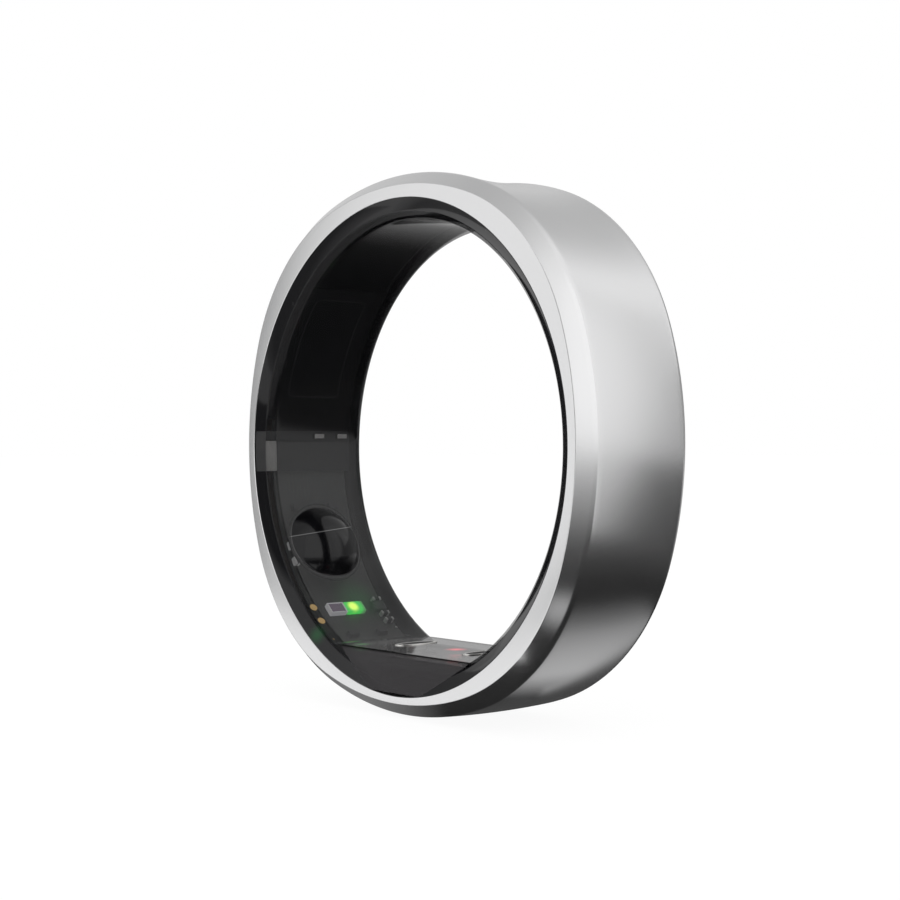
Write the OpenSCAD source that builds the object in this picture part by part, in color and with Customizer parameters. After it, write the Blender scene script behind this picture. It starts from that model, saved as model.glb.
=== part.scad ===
// Smart ring, drawn upright as it is shown: bore axis along Y, front edge towards -Y, up is +Z.
// Millimetres. The origin is the centre of the outer shell's box.

/* [Finger size] */
// radius of the finger bore; everything else is built outwards from it
bore_radius = 10.77; // [8:0.01:12]
// width of the band from front face to back face
band_width = 6.75; // [6.5:0.05:7.5]

/* [Layers] */
// thickness of the liner's wall over the electronics
liner_wall = 0.48; // [0.4:0.01:0.5]
// radial room between liner and shell, which the electronics fill
electronics_room = 0.9; // [0.88:0.01:1.1]
// thickness of the metal at the flats
band_wall = 0.64; // [0.5:0.01:1]

/* [Outer shell] */
// how much further out the ridge is on the diagonals than at the flats
corner_reach = 0.51; // [0.3:0.01:0.6]
// chamfer height, from face edge out to the ridge
chamfer_out = 0.6; // [0.4:0.05:0.7]
// chamfer depth along the band
chamfer_in = 0.64; // [0.4:0.02:0.8]
// how much the outer face bulges between the ridges where it is not hollowed
face_bulge = 0.1; // [0.06:0.02:0.12]
// depth of the hollow across the outer face at the top
dip_depth = 0.18; // [0.1:0.01:0.25]
// angle over which the hollowing body sweeps the top
dip_sweep = 80; // [70:1:100]
// share of the way out to the ridges that the hollow reaches at the top
dip_reach_share = 0.95; // [0.8:0.01:0.98]
// how far the two lips stand in from the channel floor
lip_height = 0.45; // [0.4:0.01:0.5]
// thickness of each lip along the band
lip_thickness = 0.52; // [0.45:0.01:0.6]
// how far the bore lies below the middle of the outline
bore_drop = 0.128; // [0:0.001:0.2]

/* [Liner] */
// how far out from the bore the edge bevel changes slope
bevel_break_out = 0.36; // [0.25:0.01:0.4]
// distance of that change of slope from the face
bevel_break_depth = 0.3; // [0.2:0.01:0.4]
// distance of the bevel's inner end from the face
bevel_depth = 0.63; // [0.5:0.01:0.7]
// thickness of the flange that locks behind each lip
flange_thickness = 0.15; // [0.1:0.01:0.2]

/* [Sensor platform] */
// how far the platform's flat top stands in from the bore
platform_rise = 1.05; // [0.95:0.01:1.2]
// distance of the platform's top edges from the band's faces
platform_inset = 0.525; // [0.45:0.005:0.6]
// wall between the hollow under the top and the platform's ends
platform_end_wall = 0.94; // [0.8:0.01:1.2]
// wall in front of and behind that hollow
platform_side_wall = 0.75; // [0.6:0.01:0.9]
// thickness of the platform's top over the hollow
platform_skin = 0.3; // [0.25:0.01:0.35]

/* [Domes] */
// angle of the left dome round the bore, from +X towards +Z
dome_angle = 207.75; // [205:0.25:212]
// radius of a dome's outline on the bore wall
dome_radius = 2.08; // [1.9:0.01:2.2]
// how far a dome stands out of the bore wall
dome_height = 1.05; // [0.8:0.05:1.2]
// how far towards the front both domes lie from the middle
dome_front = 0.37; // [0:0.01:0.4]
// how far the stem in the liner lies inside the dome's outline
dome_stem_inset = 0.58; // [0.5:0.01:0.9]

/* [Battery] */
// first angle of the curved cell, on the right
battery_from = 12; // [8:1:40]
// last angle of the cell, on the left
battery_to = 172; // [168:1:173]
// adhesive between cell and shell
adhesive_thickness = 0.06; // [0.04:0.01:0.08]
// thickness of the film between cell and liner
film_thickness = 0.05; // [0.03:0.01:0.06]
// angle where the lighter film begins on the cell
film_from = 134; // [120:1:150]
// gap beside the cell in the channel
battery_side_gap = 0.305; // [0.2:0.005:0.5]
// thickness of a battery tab
tab_thickness = 0.06; // [0.04:0.01:0.08]
// length of a tab pad along the band
tab_width = 0.84; // [0.6:0.02:0.9]

/* [Circuit] */
// room behind the circuit for the chips on its outer face
chip_room = 0.47; // [0.45:0.01:0.5]
// thickness of the flexible circuit
circuit_thickness = 0.1; // [0.08:0.01:0.12]
// gap beside the circuit in the channel
circuit_side_gap = 0.405; // [0.3:0.005:0.5]
// last angle of the circuit, on the right
circuit_to = 353; // [350:1:356]
// first angle of the insulating tape
tape_from = 175.7; // [175:0.1:176]
// last angle of the tape
tape_to = 186.4; // [184:0.1:188]
// gap beside the tape in the channel
tape_side_gap = 0.255; // [0.2:0.005:0.4]
// clearance under each soldered chip
solder_gap = 0.02; // [0.01:0.01:0.03]
// thickness of the film on the shell behind the circuit
insulator_thickness = 0.03; // [0.02:0.01:0.04]

/* [Hidden] */
$fn = 96;
// steps of the wide arc across the outer face, whose circle is far larger than the band
long_arc_steps = 720;
// how far a cutting block passes what it cuts
overrun = 0.1;
// how far the platform's sloped faces would pass the band's faces at the lips
platform_flush = 0.04;

// radii, from the bore outwards
liner_radius = bore_radius + liner_wall;
cell_inner = liner_radius + film_thickness;
channel_radius = liner_radius + electronics_room;
lip_radius = channel_radius - lip_height;
flat_radius = channel_radius + band_wall;
bevel_break_radius = bore_radius + bevel_break_out;
battery_radius = channel_radius - adhesive_thickness;
circuit_outer = channel_radius - chip_room;
circuit_radius = circuit_outer - circuit_thickness;

// distances along the band, from its middle
half = band_width / 2;
ridge = half - chamfer_in;
half_channel = half - lip_thickness;
half_cavity = half_channel - flange_thickness;
bevel_run = half - bevel_depth;
bevel_break = half - bevel_break_depth;
battery_half_width = half_cavity - battery_side_gap;
circuit_half_width = half_cavity - circuit_side_gap;
tape_half_width = half_cavity - tape_side_gap;
platform_half_width = half - platform_inset;
platform_cavity_width = platform_half_width - platform_side_wall;

// outline: four flat arcs and four corner arcs that meet without a kink. Seen from a flat arc's
// centre, a joint lies 35 steps along and 12 up, so its slant is 37 whole steps, and both arcs end
// at exactly the same place
joint_run_share = 35;
joint_rise_share = 12;
joint_slant_share = 37;
shift_share = joint_run_share - joint_rise_share;
corner_share = sqrt(2) * joint_rise_share + shift_share - joint_slant_share;
steps_per_mm = 1000;
arc_step = round(corner_reach / corner_share * steps_per_mm) / steps_per_mm;
corner_xy = joint_rise_share * arc_step;
flat_arc_shift = shift_share * arc_step;
side_arc = flat_radius + flat_arc_shift;
corner_arc = side_arc - joint_slant_share * arc_step;
// whole scale of the wedges that part the arcs, far enough to pass the band
wedge_scale = ceil(2 * flat_radius / joint_run_share);
wedge_run = joint_run_share * wedge_scale;
wedge_rise = joint_rise_share * wedge_scale;
sector_depth = flat_radius - bore_radius + chamfer_out;
bulge_exact = (ridge * ridge + face_bulge * face_bulge) / (2 * face_bulge);
bulge_circle = round(bulge_exact * steps_per_mm) / steps_per_mm;
dip_half = ridge * dip_reach_share;
dip_circle = (dip_half * dip_half + dip_depth * dip_depth) / (2 * dip_depth);
// the outline's middle above the box's, and the bore's height
lift = face_bulge / 2;
bore_z = lift - bore_drop;

// platform and domes
platform_level = bore_radius - platform_rise;
platform_end = sqrt(bore_radius * bore_radius - platform_level * platform_level);
platform_cavity_half = platform_end - platform_end_wall;
platform_run = half + platform_flush - platform_half_width;
platform_slope = platform_run / (lip_radius - platform_level);
dome_ball = (dome_radius * dome_radius + dome_height * dome_height) / (2 * dome_height);
dome_stem = dome_radius - dome_stem_inset;
right_dome_angle = 540 - dome_angle;

// board and contacts inside the platform
board_drop = 0.7;
board_thickness = 0.2;
board_clearance = 0.02;
board_level = platform_level + board_drop;
board_under = board_level + board_thickness;
connector_inset = 0.8;
connector_x = platform_cavity_half - connector_inset;
connector_long = 0.8;
connector_wide = 3;
front_end_long = 3;
front_end_wide = 2.4;
front_end_high = 0.5;
red_led_x = 0.45;
infrared_led_x = 1.25;
platform_led_long = 0.55;
platform_led_wide = 0.5;
platform_led_high = 0.34;
platform_diode_x = -0.9;
platform_diode_long = 1.5;
platform_diode_wide = 1.6;
platform_diode_high = 0.3;
contact_inset = 1.1;
contact_x = platform_cavity_half - contact_inset;
contact_front = 0.4;
contact_head_radius = 0.72;
contact_head_depth = 0.12;
contact_stem_radius = 0.35;
contact_proud = 0.03;

// tabs at the battery's end: places along the band, and the angles of their pads
tab_edge_gap = 0.3;
tab_spacing = 1.5;
negative_tab_front = tab_edge_gap - circuit_half_width;
positive_tab_front = negative_tab_front + tab_spacing;
tab_pad_from = 176.4;
tab_pad_to = 177.6;
ground_tab_inside = 0.455;
ground_tab_seat = 0.275;
ground_tab_back = half_cavity - ground_tab_inside;
ground_tab_front = half_cavity + ground_tab_seat;
tail_notch = 1.15;
tail_front = circuit_half_width - tail_notch;
tail_step = 1;

// chips on the circuit's outer face: angle, size round the ring, size along it
outer_chip_high = 0.33;
bluetooth_angle = 320;
bluetooth_around = 2.6;
bluetooth_along = 2.8;
memory_angle = 335;
memory_around = 1.6;
memory_along = 2;
power_angle = 285;
power_around = 1.9;
power_along = 1.9;
accelerometer_angle = 301;
accelerometer_around = 2;
accelerometer_along = 2;
crystal_angle = 310;
crystal_around = 1;
crystal_along = 1.2;
protection_angle = 193;
protection_around = 1.4;
protection_along = 1.6;
antenna_angle = 346;
antenna_around = 1;
antenna_along = 3.2;
driver_angle = 250;
driver_around = 2;
driver_along = 2.4;

// parts on its inner face: angle, distance to the front, size round the ring, size along it
inner_gap = 0.03;
sensor_angle = 226.8;
green_led_front = -0.21;
green_led_around = 0.68;
green_led_along = 1.18;
side_diode_front = 0.93;
side_diode_around = 0.68;
side_diode_along = 1.06;
led_switch_around = 0.6;
led_switch_along = 0.72;
led_switch_edge_gap = 0.12;
led_switch_front = led_switch_edge_gap + led_switch_along / 2 - circuit_half_width;
dome_diode_around = 1.4;
dome_diode_along = 1.6;
test_pad_angles = [225, 229.6];
test_pad_edge_gap = 0.2;
test_pad_front = circuit_half_width - test_pad_edge_gap;
test_pad_radius = 0.22;
test_pad_thickness = 0.03;

// small parts: angles and, as shares of the circuit's half width, distances to the front
fine_capacitor_angles = [224.5, 229.4, 231.9];
fine_capacitor_front_shares = [-0.826, -0.835, -0.826];
fine_capacitor_around = 0.2;
fine_capacitor_along = 0.52;
capacitor_angles = [236, 236, 304, 307, 310, 304, 307];
capacitor_front_shares = [0.4, -0.4, 0.7, 0.7, 0.7, -0.7, -0.7];
capacitor_around = 0.3;
capacitor_along = 0.6;
front_resistor_angles = [206.6, 211.1];
front_resistor_share = 0.89;
front_resistor_around = 0.42;
front_resistor_along = 0.3;
resistor_angles = [196, 196, 322, 325];
resistor_front_shares = [0.5, -0.5, 0.8, 0.8];
resistor_around = 0.3;
resistor_along = 0.6;

// ring plane: local X stays X, local Y becomes up, local Z points out of the front face
module ring_plane(up) {
    translate([0, 0, up]) rotate([90, 0, 0]) children();
}

// the same plane with the bore's centre at its middle
module in_bore() {
    ring_plane(bore_z) children();
}

// block bent round the bore: radii, angles, and distances towards the front
module bent_block(r0, r1, a0, a1, back, front) {
    rotate([0, 0, a0])
        rotate_extrude(angle = a1 - a0)
            translate([r0, back])
                square([r1 - r0, front - back]);
}

// flat chip from the inner face of the circuit to just short of the liner,
// its corners clear of the bent circuit
module inner_chip(deg, front, around, along) {
    seat = sqrt(circuit_radius * circuit_radius - around * around / 4) - solder_gap;
    low = liner_radius + inner_gap;
    rotate([0, 0, deg])
        translate([low, -around / 2, front - along / 2])
            cube([seat - low, around, along]);
}

// flat chip on the outer face of the circuit
module outer_chip(deg, around, along) {
    rotate([0, 0, deg])
        translate([circuit_outer + solder_gap, -around / 2, -along / 2])
            cube([outer_chip_high, around, along]);
}

// one sector of the outline: a profile swept round the arc's centre and cut out by a wedge
module sector(wedge, profile_radius) {
    intersection() {
        rotate_extrude() band_profile(profile_radius);
        linear_extrude(height = 2 * band_width, center = true) polygon(wedge);
    }
}

module side_sector(turn) {
    rotate([0, 0, turn])
        translate([-flat_arc_shift, 0, 0])
            sector([[0, 0], [wedge_run, wedge_rise], [wedge_run, -wedge_rise]], side_arc);
}

module corner_sector(turn) {
    rotate([0, 0, turn])
        translate([corner_xy, corner_xy, 0])
            sector([[0, 0], [wedge_run, wedge_rise], [wedge_run, wedge_run],
                [wedge_rise, wedge_run]], corner_arc);
}

// cross-section of the band out to the ridges, for an arc of radius r
module band_profile(r) {
    slope = chamfer_in / chamfer_out;
    intersection() {
        polygon([[r - sector_depth, -half], [r - chamfer_out, -half],
            [r + chamfer_out, -half + 2 * slope * chamfer_out],
            [r + chamfer_out, half - 2 * slope * chamfer_out], [r - chamfer_out, half],
            [r - sector_depth, half]]);
        translate([r + face_bulge - bulge_circle, 0])
            circle(r = bulge_circle, $fn = long_arc_steps);
    }
}

// segment that hollows the outer face at the top
module dip_profile() {
    intersection() {
        translate([side_arc - dip_depth + dip_circle, 0])
            circle(r = dip_circle, $fn = long_arc_steps);
        translate([side_arc - 2 * dip_depth, -half])
            square([2 * dip_depth + chamfer_out, band_width]);
    }
}

module outer_body() {
    for (turn = [0, 90, 180, 270]) {
        side_sector(turn);
        corner_sector(turn);
    }
}

// swept about the top flat's own arc centre, so that the hollow fades out at the corners
module dip_body() {
    translate([0, -flat_arc_shift, 0])
        rotate([0, 0, 90 - dip_sweep / 2])
            rotate_extrude(angle = dip_sweep)
                dip_profile();
}

// Titanium band: a rounded-square ring with chamfered edges, hollowed at the top,
// with a channel inside that is closed by two lips
module outer_shell() {
    color([0.78, 0.78, 0.79])
        difference() {
            ring_plane(lift) outer_body();
            ring_plane(lift) dip_body();
            in_bore() {
                cylinder(r = lip_radius, h = 2 * band_width, center = true);
                cylinder(r = channel_radius, h = 2 * half_channel, center = true);
            }
        }
}

// all that the platform takes up inside the lips: flat top, two sloped faces
module platform_envelope() {
    intersection() {
        union() {
            platform_half();
            mirror([0, 0, 1]) platform_half();
        }
        cylinder(r = lip_radius, h = band_width, center = true);
    }
}

// one half of the envelope, from the middle of the band to the front face
module platform_half() {
    deep = lip_radius + chamfer_out;
    edge = platform_half_width + platform_slope * (deep - platform_level);
    translate([-lip_radius, 0, 0])
        rotate([90, 0, 90])
            linear_extrude(height = 2 * lip_radius)
                polygon([[-platform_level, 0], [-platform_level, platform_half_width], [-deep, edge],
                    [-deep, 0]]);
}

// stem and hole of a dome, along its radius
module dome_stem_at(deg) {
    rotate([0, 0, deg])
        translate([bore_radius - dome_height / 4, 0, dome_front])
            rotate([0, 90, 0])
                cylinder(r = dome_stem, h = 3 * dome_height);
}

module ground_tab_solid() {
    bent_block(cell_inner, circuit_radius, tape_from, tape_to, ground_tab_back, ground_tab_front);
}

// Dark clear liner: bevelled edges, flanges behind the lips, a thin wall over the electronics
module resin_liner() {
    color([0.10, 0.10, 0.11, 0.6])
        in_bore()
            difference() {
                rotate_extrude()
                    polygon([[bore_radius, -bevel_run], [bevel_break_radius, -bevel_break],
                        [lip_radius, -half], [lip_radius, -half_channel],
                        [channel_radius, -half_channel], [channel_radius, -half_cavity],
                        [liner_radius, -half_cavity], [liner_radius, half_cavity],
                        [channel_radius, half_cavity], [channel_radius, half_channel],
                        [lip_radius, half_channel], [lip_radius, half],
                        [bevel_break_radius, bevel_break], [bore_radius, bevel_run]]);
                platform_envelope();
                dome_stem_at(dome_angle);
                dome_stem_at(right_dome_angle);
                ground_tab_solid();
            }
}

// Raised block at the bottom with a flat top and sloped front and back faces
module sensor_platform() {
    color([0.12, 0.12, 0.13, 0.7])
        in_bore()
            difference() {
                platform_envelope();
                difference() {
                    cylinder(r = channel_radius, h = 2 * half_cavity, center = true);
                    cylinder(r = liner_radius, h = 2 * band_width, center = true);
                }
                translate([-platform_cavity_half, -channel_radius, -platform_cavity_width])
                    cube([2 * platform_cavity_half, channel_radius - platform_level - platform_skin,
                        2 * platform_cavity_width]);
                contact(-contact_x);
                contact(contact_x);
            }
}

// Clear dome on the bore wall with a stem through the liner
module dome_lens(deg) {
    in_bore()
        intersection() {
            cylinder(r = liner_radius, h = band_width, center = true);
            union() {
                intersection() {
                    cylinder(r = bore_radius, h = band_width, center = true);
                    rotate([0, 0, deg])
                        translate([bore_radius - dome_height + dome_ball, 0, dome_front])
                            sphere(r = dome_ball);
                }
                dome_stem_at(deg);
            }
        }
}

module left_dome_lens() {
    color([0.08, 0.08, 0.09, 0.7]) dome_lens(dome_angle);
}

module right_dome_lens() {
    color([0.08, 0.08, 0.09, 0.7]) dome_lens(right_dome_angle);
}

// Curved pouch cell over the upper half
module battery_cell() {
    color([0.25, 0.25, 0.27])
        in_bore()
            bent_block(cell_inner, battery_radius, battery_from, battery_to, -battery_half_width,
                battery_half_width);
}

// Film between cell and liner near the cell's left end
module battery_film() {
    color([0.2, 0.2, 0.21])
        in_bore()
            bent_block(liner_radius, cell_inner, film_from, tape_from, -battery_half_width,
                battery_half_width);
}

// Adhesive that holds the cell in the shell
module battery_adhesive() {
    color([0.5, 0.45, 0.35])
        in_bore()
            bent_block(battery_radius, channel_radius, battery_from, battery_to, -battery_half_width,
                battery_half_width);
}

// Nickel tab: a foil from the cell's end to the circuit and a pad that shows in the tape
module battery_tab(front) {
    in_bore() {
        bent_block(circuit_radius - tab_thickness, circuit_radius, battery_to, tab_pad_to,
            front - tab_width / 2, front + tab_width / 2);
        bent_block(liner_radius, circuit_radius, tab_pad_from, tab_pad_to,
            front - tab_width / 2, front + tab_width / 2);
    }
}

module positive_tab() {
    color([0.75, 0.74, 0.70]) battery_tab(positive_tab_front);
}

module negative_tab() {
    color([0.75, 0.74, 0.70]) battery_tab(negative_tab_front);
}

// Tape across the joint between battery and circuit, with windows for the two tab pads
module insulating_tape() {
    color([0.32, 0.32, 0.33])
        in_bore()
            difference() {
                bent_block(liner_radius, cell_inner, tape_from, tape_to,
                    -tape_half_width, ground_tab_back);
                for (front = [positive_tab_front, negative_tab_front])
                    bent_block(liner_radius - film_thickness, cell_inner + film_thickness,
                        tab_pad_from, tab_pad_to, front - tab_width / 2, front + tab_width / 2);
            }
}

// Bright metal tab at the front edge that earths the circuit to the band
module ground_tab() {
    color([0.8, 0.8, 0.8]) in_bore() ground_tab_solid();
}

// Flexible circuit round the lower half, with a narrower tail under the battery's tabs
module flex_circuit() {
    color([0.10, 0.14, 0.12])
        in_bore()
            difference() {
                bent_block(circuit_radius, circuit_outer, battery_to + tail_step, circuit_to,
                    -circuit_half_width, circuit_half_width);
                bent_block(circuit_radius - overrun, circuit_outer + overrun, battery_to, tape_from,
                    tail_front, circuit_half_width + overrun);
            }
}

// Insulating film on the shell behind the circuit
module shell_insulator() {
    color([0.55, 0.40, 0.15])
        in_bore()
            bent_block(channel_radius - insulator_thickness, channel_radius, battery_to + tail_step,
                circuit_to, -circuit_half_width, circuit_half_width);
}

module bluetooth_chip() {
    color([0.08, 0.08, 0.09])
        in_bore() outer_chip(bluetooth_angle, bluetooth_around, bluetooth_along);
}

module memory_chip() {
    color([0.09, 0.09, 0.1])
        in_bore() outer_chip(memory_angle, memory_around, memory_along);
}

module power_chip() {
    color([0.09, 0.09, 0.1])
        in_bore() outer_chip(power_angle, power_around, power_along);
}

module accelerometer() {
    color([0.2, 0.2, 0.21])
        in_bore() outer_chip(accelerometer_angle, accelerometer_around, accelerometer_along);
}

module crystal() {
    color([0.72, 0.70, 0.62])
        in_bore() outer_chip(crystal_angle, crystal_around, crystal_along);
}

module protection_chip() {
    color([0.1, 0.1, 0.11])
        in_bore() outer_chip(protection_angle, protection_around, protection_along);
}

module chip_antenna() {
    color([0.85, 0.84, 0.8])
        in_bore() outer_chip(antenna_angle, antenna_around, antenna_along);
}

module sensor_driver_chip() {
    color([0.09, 0.09, 0.1])
        in_bore() outer_chip(driver_angle, driver_around, driver_along);
}

module green_led() {
    color([0.3, 0.9, 0.3])
        in_bore()
            inner_chip(sensor_angle, green_led_front, green_led_around, green_led_along);
}

module side_photodiode() {
    color([0.6, 0.6, 0.62])
        in_bore()
            inner_chip(sensor_angle, side_diode_front, side_diode_around, side_diode_along);
}

module led_switch_chip() {
    color([0.3, 0.3, 0.31])
        in_bore()
            inner_chip(sensor_angle, led_switch_front, led_switch_around, led_switch_along);
}

module left_dome_photodiode() {
    color([0.15, 0.15, 0.2])
        in_bore() inner_chip(dome_angle, dome_front, dome_diode_around, dome_diode_along);
}

module right_dome_photodiode() {
    color([0.15, 0.15, 0.2])
        in_bore() inner_chip(right_dome_angle, dome_front, dome_diode_around, dome_diode_along);
}

// part that stands on the board: its middle along X and its length, width and height
module board_part(x, long, wide, high) {
    translate([x - long / 2, -board_level, -wide / 2])
        cube([long, high, wide]);
}

// Small rigid board inside the platform
module sensor_board() {
    long = 2 * (platform_cavity_half - board_clearance);
    wide = 2 * (platform_cavity_width - board_clearance);
    color([0.08, 0.2, 0.12])
        in_bore()
            translate([-long / 2, -board_under, -wide / 2])
                cube([long, board_thickness, wide]);
}

// Two connector blocks between the board and the flexible circuit
module board_connectors() {
    high = channel_radius - board_under;
    color([0.15, 0.15, 0.16])
        in_bore()
            intersection() {
                cylinder(r = circuit_radius, h = band_width, center = true);
                for (x = [-connector_x, connector_x])
                    translate([x - connector_long / 2, -channel_radius, -connector_wide / 2])
                        cube([connector_long, high, connector_wide]);
            }
}

// Optical front-end chip under the board
module front_end_chip() {
    color([0.06, 0.06, 0.07])
        in_bore()
            translate([-front_end_long / 2, -board_under - front_end_high, -front_end_wide / 2])
                cube([front_end_long, front_end_high, front_end_wide]);
}

module red_led() {
    color([0.95, 0.2, 0.15])
        in_bore()
            board_part(red_led_x, platform_led_long, platform_led_wide, platform_led_high);
}

module infrared_led() {
    color([0.5, 0.4, 0.45])
        in_bore()
            board_part(infrared_led_x, platform_led_long, platform_led_wide, platform_led_high);
}

module platform_photodiode() {
    color([0.15, 0.15, 0.2])
        in_bore()
            board_part(platform_diode_x, platform_diode_long, platform_diode_wide,
                platform_diode_high);
}

// contact with a round head at the platform's top and a stem down to the board
module contact(x) {
    translate([x, -platform_level + contact_proud, contact_front])
        rotate([90, 0, 0]) {
            cylinder(r = contact_head_radius, h = contact_head_depth + contact_proud);
            cylinder(r = contact_stem_radius, h = board_level - platform_level + contact_proud);
        }
}

module left_charging_contact() {
    color([0.85, 0.84, 0.82]) in_bore() contact(-contact_x);
}

module right_charging_contact() {
    color([0.85, 0.84, 0.82]) in_bore() contact(contact_x);
}

// Gold test pads on the circuit's inner face near the front edge
module test_pads() {
    seat = sqrt(circuit_radius * circuit_radius - test_pad_radius * test_pad_radius);
    color([0.9, 0.7, 0.35])
        in_bore()
            for (deg = test_pad_angles)
                rotate([0, 0, deg])
                    translate([seat - test_pad_thickness, 0, test_pad_front])
                        rotate([0, 90, 0])
                            cylinder(r = test_pad_radius, h = test_pad_thickness);
}

module chip_capacitors() {
    color([0.5, 0.42, 0.35])
        in_bore() {
            for (i = [0:len(fine_capacitor_angles) - 1])
                inner_chip(fine_capacitor_angles[i],
                    fine_capacitor_front_shares[i] * circuit_half_width,
                    fine_capacitor_around, fine_capacitor_along);
            for (i = [0:len(capacitor_angles) - 1])
                inner_chip(capacitor_angles[i], capacitor_front_shares[i] * circuit_half_width,
                    capacitor_around, capacitor_along);
        }
}

module chip_resistors() {
    color([0.12, 0.12, 0.13])
        in_bore() {
            for (deg = front_resistor_angles)
                inner_chip(deg, front_resistor_share * circuit_half_width,
                    front_resistor_around, front_resistor_along);
            for (i = [0:len(resistor_angles) - 1])
                inner_chip(resistor_angles[i], resistor_front_shares[i] * circuit_half_width,
                    resistor_around, resistor_along);
        }
}

outer_shell();
resin_liner();
sensor_platform();
left_dome_lens();
right_dome_lens();
battery_cell();
battery_film();
battery_adhesive();
positive_tab();
negative_tab();
insulating_tape();
ground_tab();
flex_circuit();
shell_insulator();
bluetooth_chip();
memory_chip();
power_chip();
accelerometer();
crystal();
protection_chip();
chip_antenna();
sensor_driver_chip();
green_led();
side_photodiode();
led_switch_chip();
left_dome_photodiode();
right_dome_photodiode();
sensor_board();
board_connectors();
front_end_chip();
red_led();
infrared_led();
platform_photodiode();
left_charging_contact();
right_charging_contact();
test_pads();
chip_capacitors();
chip_resistors();
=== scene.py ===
# %% [markdown]
# # A smart ring in titanium and dark resin
#
# A smart ring is a band of titanium with a thin computer inside. The band is turned and milled from
# bar, the electronics are laid into a channel on its inner side, and dark clear resin is cast over
# them and polished, so that chips, tabs and sensors stay faintly visible in the bore.
#
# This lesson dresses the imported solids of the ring. The solids are exact but bare. Here each visible
# piece gets its soft edges, its finish and the small parts that a solid leaves out.

# %% Load the ring's solids
import bpy
import bmesh
import math
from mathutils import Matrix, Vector


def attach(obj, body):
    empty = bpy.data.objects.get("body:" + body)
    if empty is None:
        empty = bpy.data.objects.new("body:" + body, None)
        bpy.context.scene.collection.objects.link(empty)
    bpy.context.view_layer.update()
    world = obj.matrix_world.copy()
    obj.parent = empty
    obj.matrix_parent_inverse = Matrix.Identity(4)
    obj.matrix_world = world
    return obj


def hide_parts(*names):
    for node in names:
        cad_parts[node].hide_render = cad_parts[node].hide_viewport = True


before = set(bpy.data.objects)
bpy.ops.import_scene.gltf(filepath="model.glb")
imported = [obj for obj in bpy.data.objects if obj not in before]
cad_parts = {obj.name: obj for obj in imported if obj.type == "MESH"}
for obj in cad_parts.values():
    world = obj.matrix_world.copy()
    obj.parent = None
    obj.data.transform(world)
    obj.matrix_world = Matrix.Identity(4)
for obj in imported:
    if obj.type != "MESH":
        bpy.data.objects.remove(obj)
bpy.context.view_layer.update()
MM = 0.001

# %% [markdown]
# ## Sizes
#
# A scene and its solids have to agree, so the sizes that the solids were built from are repeated
# here, in millimetres. Everything is built outwards from the bore, as a maker would do it: the wall of
# the liner, the room for the electronics, and then the metal. Angles go from the right-hand side
# upwards, so 90 degrees is the top of the ring and 270 the bottom, where the sensors are.

# %% Sizes of the ring, in millimetres
BORE = 10.77
HALF = 3.375
FLAT = 12.79
ARC_STEP = 0.172
RUN, RISE, SLANT = 35, 12, 37
BORE_DROP = 0.128
LIFT = 0.05
BORE_Z = LIFT - BORE_DROP
LIP = 11.70
LIP_SIDE = HALF - 0.52
CHANNEL = 12.15
LINER_OUT = 11.25
CIRCUIT = 11.58
HALF_CIRCUIT = 2.3
CHIP_FOOT = CIRCUIT - 0.03
SENSOR_ROW = 226.8
PLATFORM_LEVEL = 9.72
PLATFORM_HALF = 2.85
DOME_ANGLES = 207.75, 332.25
DOME_FRONT = 0.37
DOME_RADIUS = 2.08
print("liner wall", round(LINER_OUT - BORE, 3), "metal", round(FLAT - CHANNEL, 3))


# %% Places on the ring
def in_ring(x, y, z):
    """A place in millimetres from the bore's centre, as metres in the scene."""
    return Vector((x * MM, y * MM, (z + BORE_Z) * MM))


def on_ring(degrees, radius, front=0.0, shift=0.0):
    """A place at an angle and a radius, moved towards the front face and round the ring."""
    cos, sin = math.cos(math.radians(degrees)), math.sin(math.radians(degrees))
    return in_ring(radius * cos - shift * sin, -front, radius * sin + shift * cos)


print("top of the bore at mm", [round(v / MM, 3) for v in on_ring(90, BORE)])

# %% [markdown]
# ## The camera
#
# The view is level with the middle of the ring and turned about 50 degrees from the bore's axis, from
# close by, so the near side of the band looks wider than the far side. A long lens would flatten
# that. The place and the lens come from fitting circles to the edges of the bore and the band.

# %% Camera at the photograph's angle
TURN, DIP = math.radians(49.71), math.radians(0.09)
SIDEWAYS, UPWARDS, AWAY = -0.0801, 0.1322, 83.566
PICTURE_PIXELS, FOCAL_PIXELS, SENSOR_WIDTH = 900.0, 1731.0, 36.0


def add_camera():
    right = Vector((math.cos(TURN), math.sin(TURN), 0))
    look = Vector((-math.sin(TURN) * math.cos(DIP), math.cos(TURN) * math.cos(DIP), -math.sin(DIP)))
    lens = bpy.data.cameras.new("ring_camera")
    lens.sensor_width = SENSOR_WIDTH
    lens.lens = FOCAL_PIXELS * SENSOR_WIDTH / PICTURE_PIXELS
    lens.clip_start = 0.005
    lens.clip_end = 10.0
    made = bpy.data.objects.new("ring_camera", lens)
    bpy.context.scene.collection.objects.link(made)
    made.location = in_ring(*-(right * SIDEWAYS + right.cross(look) * UPWARDS + look * AWAY))
    made.rotation_mode = "QUATERNION"
    made.rotation_quaternion = look.to_track_quat("-Z", "Y")
    bpy.context.scene.camera = made
    return made


camera = add_camera()
bpy.context.scene.view_settings.view_transform = "Standard"
print("camera at mm", [round(v / MM, 2) for v in camera.location], "lens", round(camera.data.lens, 2))

# %% [markdown]
# ## Node helpers
#
# Node trees are easier to read as sums than as boxes and wires. The class below wraps one number
# socket, and Python's own operators add the Math nodes: `a * 2 + b` is then two nodes. Any other node
# comes from one method that takes the node's type, its settings and its inputs. The same helpers
# serve materials and Geometry Nodes.

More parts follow.
